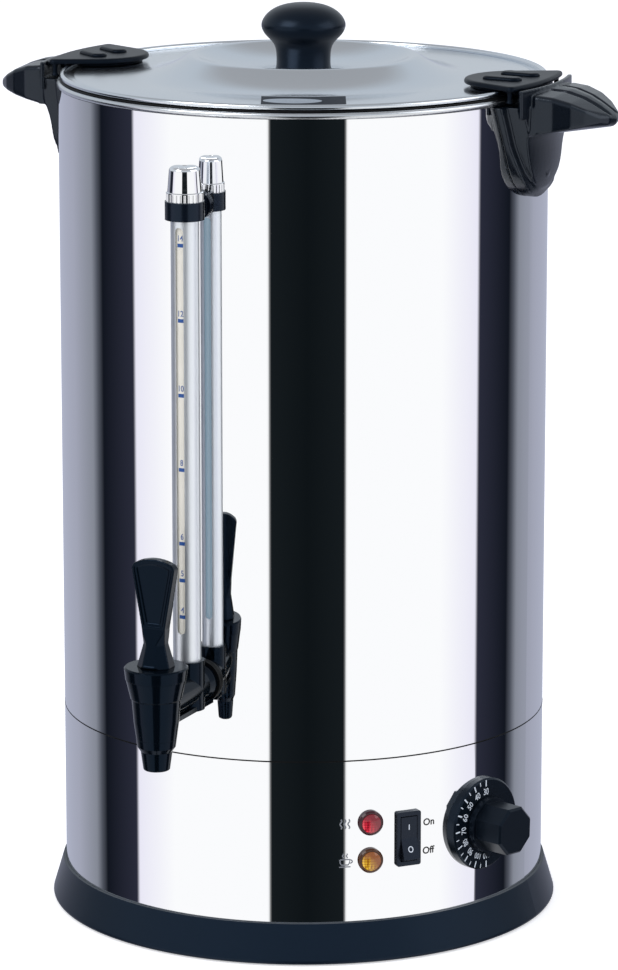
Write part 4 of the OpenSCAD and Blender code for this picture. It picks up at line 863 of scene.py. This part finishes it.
def turned(name, section, material, body, steps=288):
    """Spins a closed section, given as radius and height in millimetres, about the upright axis."""
    spin = bmesh.new()
    ring_of = []
    for radius, height in section:
        if radius < 1e-6:
            ring_of.append([spin.verts.new((0, 0, height * MM))])
            continue
        ring = []
        for i in range(steps):
            a = 2 * math.pi * i / steps
            ring.append(spin.verts.new((radius * MM * math.cos(a), radius * MM * math.sin(a), height * MM)))
        ring_of.append(ring)
    for lower, upper in zip(ring_of, ring_of[1:] + ring_of[:1]):
        if len(lower) == 1 and len(upper) == 1:
            continue
        for i in range(steps):
            k = (i + 1) % steps
            low = [lower[i % len(lower)], lower[k % len(lower)]]
            high = [upper[k % len(upper)], upper[i % len(upper)]]
            spin.faces.new(list(dict.fromkeys(low + high)))
    bmesh.ops.recalc_face_normals(spin, faces=spin.faces)
    for face in spin.faces:
        face.smooth = True
    for edge in spin.edges:
        if len(edge.link_faces) == 2 and edge.calc_face_angle(0.0) > math.radians(CORNER_DEGREES):
            edge.smooth = False
    mesh = bpy.data.meshes.new(name)
    spin.to_mesh(mesh)
    spin.free()
    mesh.materials.append(material)
    piece = put_in_scene(name, mesh)
    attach(piece, body)
    print(name, "has", len(mesh.polygons), "faces")
    return piece


def bend(radius, height, size, start, end, parts=10):
    """An arc of the section, about a centre, from one angle to another in degrees."""
    return [
        (
            radius + size * math.cos(math.radians(start + (end - start) * i / parts)),
            height + size * math.sin(math.radians(start + (end - start) * i / parts)),
        )
        for i in range(parts + 1)
    ]


# %% [markdown]
# ### The lid
# The lid is one pressing of satin steel: a rolled bead at the edge, a channel, a level rim, then a
# ridge that rises 11 mm and dips again towards the knob's seat. The ridge's front flank mirrors the
# ceiling right above, which is darker than the horizon, and that gives the lid its grey crescent. A
# short skirt of the same steel hangs inside the mouth of the tank.

# %% The lid's pressing
SHEET = 0.8
RIM_Z, SEAT_Z, RIDGE_Z = 475.0, 476.4, 486.0
SEAT_R, RIDGE_R, FOOT_R, RIDGE_BEND = 22.0, 62.0, 97.0, 7.0
CHANNEL_R, CHANNEL_BEND, CHANNEL_Z = 127.6, 0.7, 474.3
BEAD_R, BEAD_Z, BEAD_BEND, UNDER_Z = 134.5, 475.1, 1.6, 473.52
SKIRT_IN_R, SKIRT_OUT_R, SKIRT_LOW_Z, SKIRT_TOP_Z = 122.4, 123.2, 463.5, 474.4
dish_slope = 2 * math.degrees(math.atan((RIDGE_Z - SEAT_Z) / (RIDGE_R - SEAT_R)))
flank_slope = 2 * math.degrees(math.atan((RIDGE_Z - RIM_Z) / (FOOT_R - RIDGE_R)))
dish_bend = (RIDGE_R - SEAT_R) / math.sin(math.radians(dish_slope)) - RIDGE_BEND
foot_bend = (FOOT_R - RIDGE_R) / math.sin(math.radians(flank_slope)) - RIDGE_BEND


def lid_line(depth):
    """The pressing's section from the axis to the channel, a depth below its upper face."""
    return (
        [(0.0, SEAT_Z - depth)]
        + bend(SEAT_R, SEAT_Z + dish_bend, dish_bend + depth, -90, -90 + dish_slope * 0.98)
        + bend(RIDGE_R, RIDGE_Z - RIDGE_BEND, RIDGE_BEND - depth, 90 + dish_slope, 90 - flank_slope * 0.98)
        + bend(FOOT_R, RIM_Z + foot_bend, foot_bend + depth, -90 - flank_slope, -90)
        + bend(CHANNEL_R - depth * 0.4, RIM_Z - CHANNEL_BEND, CHANNEL_BEND - depth * 0.2, 90, 20, 4)
    )


bead = bend(BEAD_R, BEAD_Z, BEAD_BEND, 205, -90, 24)
under_edge = [(CHANNEL_R + 2.0, UNDER_Z), (CHANNEL_R, UNDER_Z)]
channel = [(CHANNEL_R + 1.1, CHANNEL_Z + 0.04), (CHANNEL_R + 1.8, CHANNEL_Z), (CHANNEL_R + 4.8, CHANNEL_Z)]
pressing = lid_line(0) + channel + bead + under_edge
lid_pressing = turned("lid_pressing", pressing + lid_line(SHEET)[::-1], lid_steel, "lid")
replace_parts(lid_pressing, "lid_shell")
skirt = [
    (SKIRT_IN_R, SKIRT_LOW_Z),
    (SKIRT_OUT_R, SKIRT_LOW_Z),
    (SKIRT_OUT_R, SKIRT_TOP_Z),
    (SKIRT_IN_R, SKIRT_TOP_Z),
]
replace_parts(turned("lid_skirt", skirt, lid_steel, "lid"), "lid_shell")

# %% [markdown]
# ### Gasket and seam shade ring
# Two thin black lines run round the urn: the rubber gasket between the rim and the lid, and a thin black
# ring of painted shade that fills the groove at the seam. Both are slightly rounded, so they shine a little.

# %% Gasket and seam shade ring
GASKET_IN_R, GASKET_EDGE_R, GASKET_Z, GASKET_BEND = 127.9, 135.6, 473.0, 0.47
SEAM_BEAD_R, SEAM_Z, SEAM_BEND = 136.56, 114.8, 0.58
gasket_edge = bend(GASKET_EDGE_R, GASKET_Z, GASKET_BEND, -90, 90, 8)
gasket_section = [(GASKET_IN_R, GASKET_Z - 0.45)] + gasket_edge + [(GASKET_IN_R, GASKET_Z + 0.45)]
gasket_ring = turned("gasket_ring", gasket_section, black_rubber, "gasket")
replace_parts(gasket_ring, "lid_gasket")
# The ring in the seam's groove is painted shade: a black line where the groove lies in shade.
turned("painted_seam_shade_ring", bend(SEAM_BEAD_R, SEAM_Z, SEAM_BEND, -180, 150, 11), seam_shade_black, "urn")

# %% [markdown]
# ### The lid knob
# A phenolic knob, pressed in a two-part mould: a flat dome that swells to its widest a third of the way
# down and then runs in one hollow curve to the neck.

# %% The lid knob
KNOB_LINE = [
    (0.0, 514.7), (4.5, 514.55), (9.0, 513.95), (13.5, 512.75), (17.6, 510.75), (20.8, 508.1), (22.8, 505.1),
    (23.48, 502.6), (23.1, 500.2), (21.9, 497.9), (20.2, 495.9), (18.3, 494.0), (16.9, 492.2), (15.9, 490.2),
    (15.3, 487.6), (15.1, 484.6), (15.1, 481.6), (15.3, 479.0), (15.8, 477.4), (15.7, 476.45), (0.0, 476.45),
]


KNOB_TOP = KNOB_LINE[0][1]


def between(a, b, c, d, t):
    """A value between b and c that runs on smoothly from a and towards d."""
    square = (2 * a - 5 * b + 4 * c - d) * t * t
    cube = (3 * b - a - 3 * c + d) * t * t * t
    return 0.5 * (2 * b + (c - a) * t + square + cube)


def through(points, parts=4):
    """A smooth line through the given points."""
    line = []
    for i in range(len(points) - 1):
        four = points[max(i - 1, 0)], points[i], points[i + 1], points[min(i + 2, len(points) - 1)]
        for k in range(parts):
            line.append(tuple(between(*values, k / parts) for values in zip(*four)))
    return line + [points[-1]]


knob_curve = [(max(r, 0.0), min(z, KNOB_TOP)) for r, z in through(KNOB_LINE[:-1])]
knob_section = knob_curve + [KNOB_LINE[-1]]
mushroom_knob = turned("mushroom_knob", knob_section, knob_phenolic, "lid", steps=128)
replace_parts(mushroom_knob, "lid_knob")

# %% [markdown]
# ## Moulded handles and lid locks
# A mould leaves no sharp edge: the handles and the lock plates on the real urn run softly from face to
# face. A copy of each solid is rebuilt as a fine even skin (the Remesh modifier in voxel mode) and then
# smoothed, which rounds each edge by about a millimetre.

# %% A helper that softens a moulded piece
def softened(name, node, voxel_mm, rounds, material, body, shape=None, add=None):
    """A copy of a solid with rounded edges. add joins more pieces first, shape moves points after."""
    mesh = nodes[node].data.copy()
    mesh.name = name
    body_shape = bmesh.new()
    body_shape.from_mesh(mesh)
    if add:
        add(body_shape)
    body_shape.to_mesh(mesh)
    body_shape.free()
    piece = put_in_scene(name, mesh)
    skin = piece.modifiers.new("skin", "REMESH")
    skin.mode, skin.voxel_size, skin.use_smooth_shade = "VOXEL", voxel_mm * MM, True
    first = evaluated_mesh(piece)
    piece.modifiers.clear()
    piece.data = first
    soften = piece.modifiers.new("soften", "SMOOTH")
    soften.factor, soften.iterations = 0.5, rounds
    last = evaluated_mesh(piece)
    piece.modifiers.clear()
    piece.data = last
    if shape:
        places = [(vertex.co.copy(), vertex.normal.copy()) for vertex in last.vertices]
        for vertex, (place, normal) in zip(last.vertices, places):
            vertex.co = shape(place, normal)
    last.name = name
    last.materials.clear()
    last.materials.append(material)
    for face in last.polygons:
        face.use_smooth = True
    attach(piece, body)
    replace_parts(piece, node)
    print(name, "has", len(last.polygons), "faces")
    return piece


# %% [markdown]
# ### The handles
# Two hollow grooves run out along the wing and leave three ridges. They are pressed into the copy by
# moving points down, deepest in the middle of a groove. Below the wing the shield is filled out by up
# to 3.4 mm, which the wing still overhangs, and a stub of plastic closes the end of the lower screw's
# hole.

# %% The handles
WING_LOW_Z, SHIELD_LOW_Z, SHIELD_FULLNESS = 449.0, 414.5, 3.4
GROOVE_IN_X, GROOVE_OUT_X, GROOVE_DEPTH = 151, 186, 2.6
BOSS_X, BOSS_Z, BOSS_R, BOSS_LENGTH = 141.6, 430, 3, 4.6


def ease(t):
    """Runs from 0 to 1 with soft ends."""
    t = min(1.0, max(0.0, t))
    return t * t * (3 - 2 * t)


def grooved(side):
    """Presses the wing's two grooves and fills the shield out, on the side of the urn that the sign gives."""

    def shape(place, normal):
        x, y, z = place.x / MM * side, place.y / MM, place.z / MM
        if z < WING_LOW_Z:
            radius = math.hypot(x, y)
            down = (WING_LOW_Z - z) / (WING_LOW_Z - SHIELD_LOW_Z)
            swell = ease(down / 0.7) * (1 - 0.7 * ease((down - 0.8) / 0.2))
            push = SHIELD_FULLNESS * swell * ease((radius - WALL_R - 0.8) / 3)
            return Vector((place.x * (1 + push / radius), place.y * (1 + push / radius), place.z))
        if normal.z < 0.2 or x < GROOVE_IN_X:
            return place
        along_wing = (x - GROOVE_IN_X - 2) / 30
        fade = ease((x - GROOVE_IN_X) / 5) * ease((GROOVE_OUT_X - x) / 5)
        middle = 9.2 - 4.4 * along_wing
        width = 1.35 - 0.35 * along_wing
        groove = math.exp(-(((abs(y) - middle) / width) ** 2))
        return Vector((place.x, place.y, place.z - GROOVE_DEPTH * MM * groove * fade))

    return shape


def screw_boss(side):
    """A stub of plastic round the end of the lower screw's hole, so that the shield's face stays whole."""

    def add(shape):
        middle = Matrix.Translation((side * BOSS_X * MM, 0, BOSS_Z * MM))
        bmesh.ops.create_cone(
            shape,
            cap_ends=True,
            segments=24,
            radius1=BOSS_R * MM,
            radius2=BOSS_R * MM,
            depth=BOSS_LENGTH * MM,
            matrix=middle @ Matrix.Rotation(math.pi / 2, 4, "Y"),
        )

    return add


SIDES = {"right": 1, "left": -1}
for word, side in SIDES.items():
    softened(
        word + "_handle_moulding",
        "handle_" + word,
        0.55,
        8,
        handle_nylon,
        "urn",
        grooved(side),
        screw_boss(side),
    )

# %% [markdown]
# ### The tap's lever
# The lever's foot is moulded with eight flats, whose edges come out soft, and its paddle has a sunk
# panel. The same skin gives its edges the thin bright lines that glossy plastic has.

# %% The tap lever
softened("lever_moulding", "tap_lever", 0.4, 7, tap_gloss, "lever")

# %% [markdown]
# ### The lock plates
# Each plate is a smooth pebble with two thick oval pads that the thumb pushes against. The slim bars of
# the solid are cut off above the plate before the skin is made, and the pads are set in their place.

# %% The lock plates
PLATE_TOP = 480.0
PAD_LENGTH, PAD_WIDTH, PAD_RISE, PAD_STEPS = 23.0, 9.6, 1.78, 40
PAD_PLACES = [(123.5, -10.5), (126, 10.0)]
PAD_TURNS = {"right": -6, "left": -38}


def bare_top(shape):
    """Cuts all that stands above a lock plate's top face and closes the cut."""
    bmesh.ops.remove_doubles(shape, verts=shape.verts, dist=0.001 * MM)
    everything = shape.verts[:] + shape.edges[:] + shape.faces[:]
    cut = bmesh.ops.bisect_plane(
        shape, geom=everything, plane_co=(0, 0, (PLATE_TOP + 0.02) * MM), plane_no=(0, 0, 1), clear_outer=True
    )
    bmesh.ops.holes_fill(shape, edges=[e for e in cut["geom_cut"] if isinstance(e, bmesh.types.BMEdge)])


def oval_pads(name, side, turn_degrees):
    """Two domed ovals on a lock plate, each a stack of rings that draw in towards the top."""
    c, s = math.cos(math.radians(turn_degrees)), math.sin(math.radians(turn_degrees))
    half = (PAD_LENGTH - PAD_WIDTH) / 2
    around = PAD_STEPS
    rings = [(0.2, -0.8), (0.0, 0.1), (0.0, 0.7), (0.35, 1.2), (1.0, 1.6), (2.0, PAD_RISE)]
    points, faces = [], []
    for x, y in PAD_PLACES:
        start = len(points)
        for inset, height in rings:
            for i in range(around):
                a = 2 * math.pi * i / around
                px = (PAD_WIDTH / 2 - inset) * math.cos(a) + math.copysign(half, math.cos(a))
                py = (PAD_WIDTH / 2 - inset) * math.sin(a)
                spot_x, spot_y = x + px * c - py * s, y + px * s + py * c
                points.append((side * spot_x * MM, side * spot_y * MM, (PLATE_TOP + height) * MM))
        for level in range(len(rings) - 1):
            for i in range(around):
                low, k = start + level * around, (i + 1) % around
                faces.append((low + i, low + k, low + around + k, low + around + i))
        top = start + (len(rings) - 1) * around
        faces.append(tuple(range(top, top + around)))
        faces.append(tuple(range(start + around - 1, start - 1, -1)))
    mesh = bpy.data.meshes.new(name)
    mesh.from_pydata(points, [], faces)
    mesh.materials.append(lock_nylon)
    for face in mesh.polygons:
        face.use_smooth = len(face.vertices) == 4
    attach(put_in_scene(name, mesh), "lid")
    print(name, "has", len(faces), "faces")


for word in SIDES:
    softened(word + "_lock_plate", "lid_lock_" + word, 0.55, 12, lock_nylon, "lid", add=bare_top)
for word, side in SIDES.items():
    oval_pads(word + "_lock_pads", side, PAD_TURNS[word])

# %% [markdown]
# ### The foil plate on the lid
# The lid carries a small dark plate of foil at the front with a bright oval in it, laid over the foot
# of the ridge. Both are plain, and bend with the steel below them.

# %% The foil plate
PLATE_AZIMUTH = 24.0
FOIL_WIDTH, FOIL_IN_R, FOIL_STRIP, FOIL_STRIPS = 46, 95, 3.1, 10
OVAL_X, OVAL_R, OVAL_HALF_WIDTH, OVAL_HALF_DEPTH = -6, 109, 16, 9


def on_lid(x, y, lift=0.06):
    """x runs to the right along the front of the lid, y outwards from the axis."""
    a = math.radians(PLATE_AZIMUTH) + x / y
    height = RIM_Z if y >= FOOT_R else RIM_Z + foot_bend - math.sqrt(foot_bend**2 - (FOOT_R - y) ** 2)
    return Vector((y * math.sin(a) * MM, -y * math.cos(a) * MM, (height + lift) * MM))


plate_grid = [
    bar_outline(0, FOIL_IN_R + FOIL_STRIP * i, FOIL_WIDTH, FOIL_STRIP, parts=20) for i in range(FOIL_STRIPS)
]
plate_foil = printing_ink("dark_foil_plate", "141c28", 0.45, shine=0.1)
print_ink("blank_lid_plate", plate_grid, on_lid, plate_foil, "lid")
oval_turns = [math.radians(6 * i) for i in range(60)]
oval_line = [
    (OVAL_X + OVAL_HALF_WIDTH * math.cos(a), OVAL_R + OVAL_HALF_DEPTH * math.sin(a)) for a in oval_turns
]
oval = (oval_line, [tuple(range(len(oval_line)))])
silver_foil = printing_ink("silver_foil", "9aa5b0", 0.3)
print_ink("blank_lid_oval", [oval], lambda x, y: on_lid(x, y, 0.1), silver_foil, "lid")
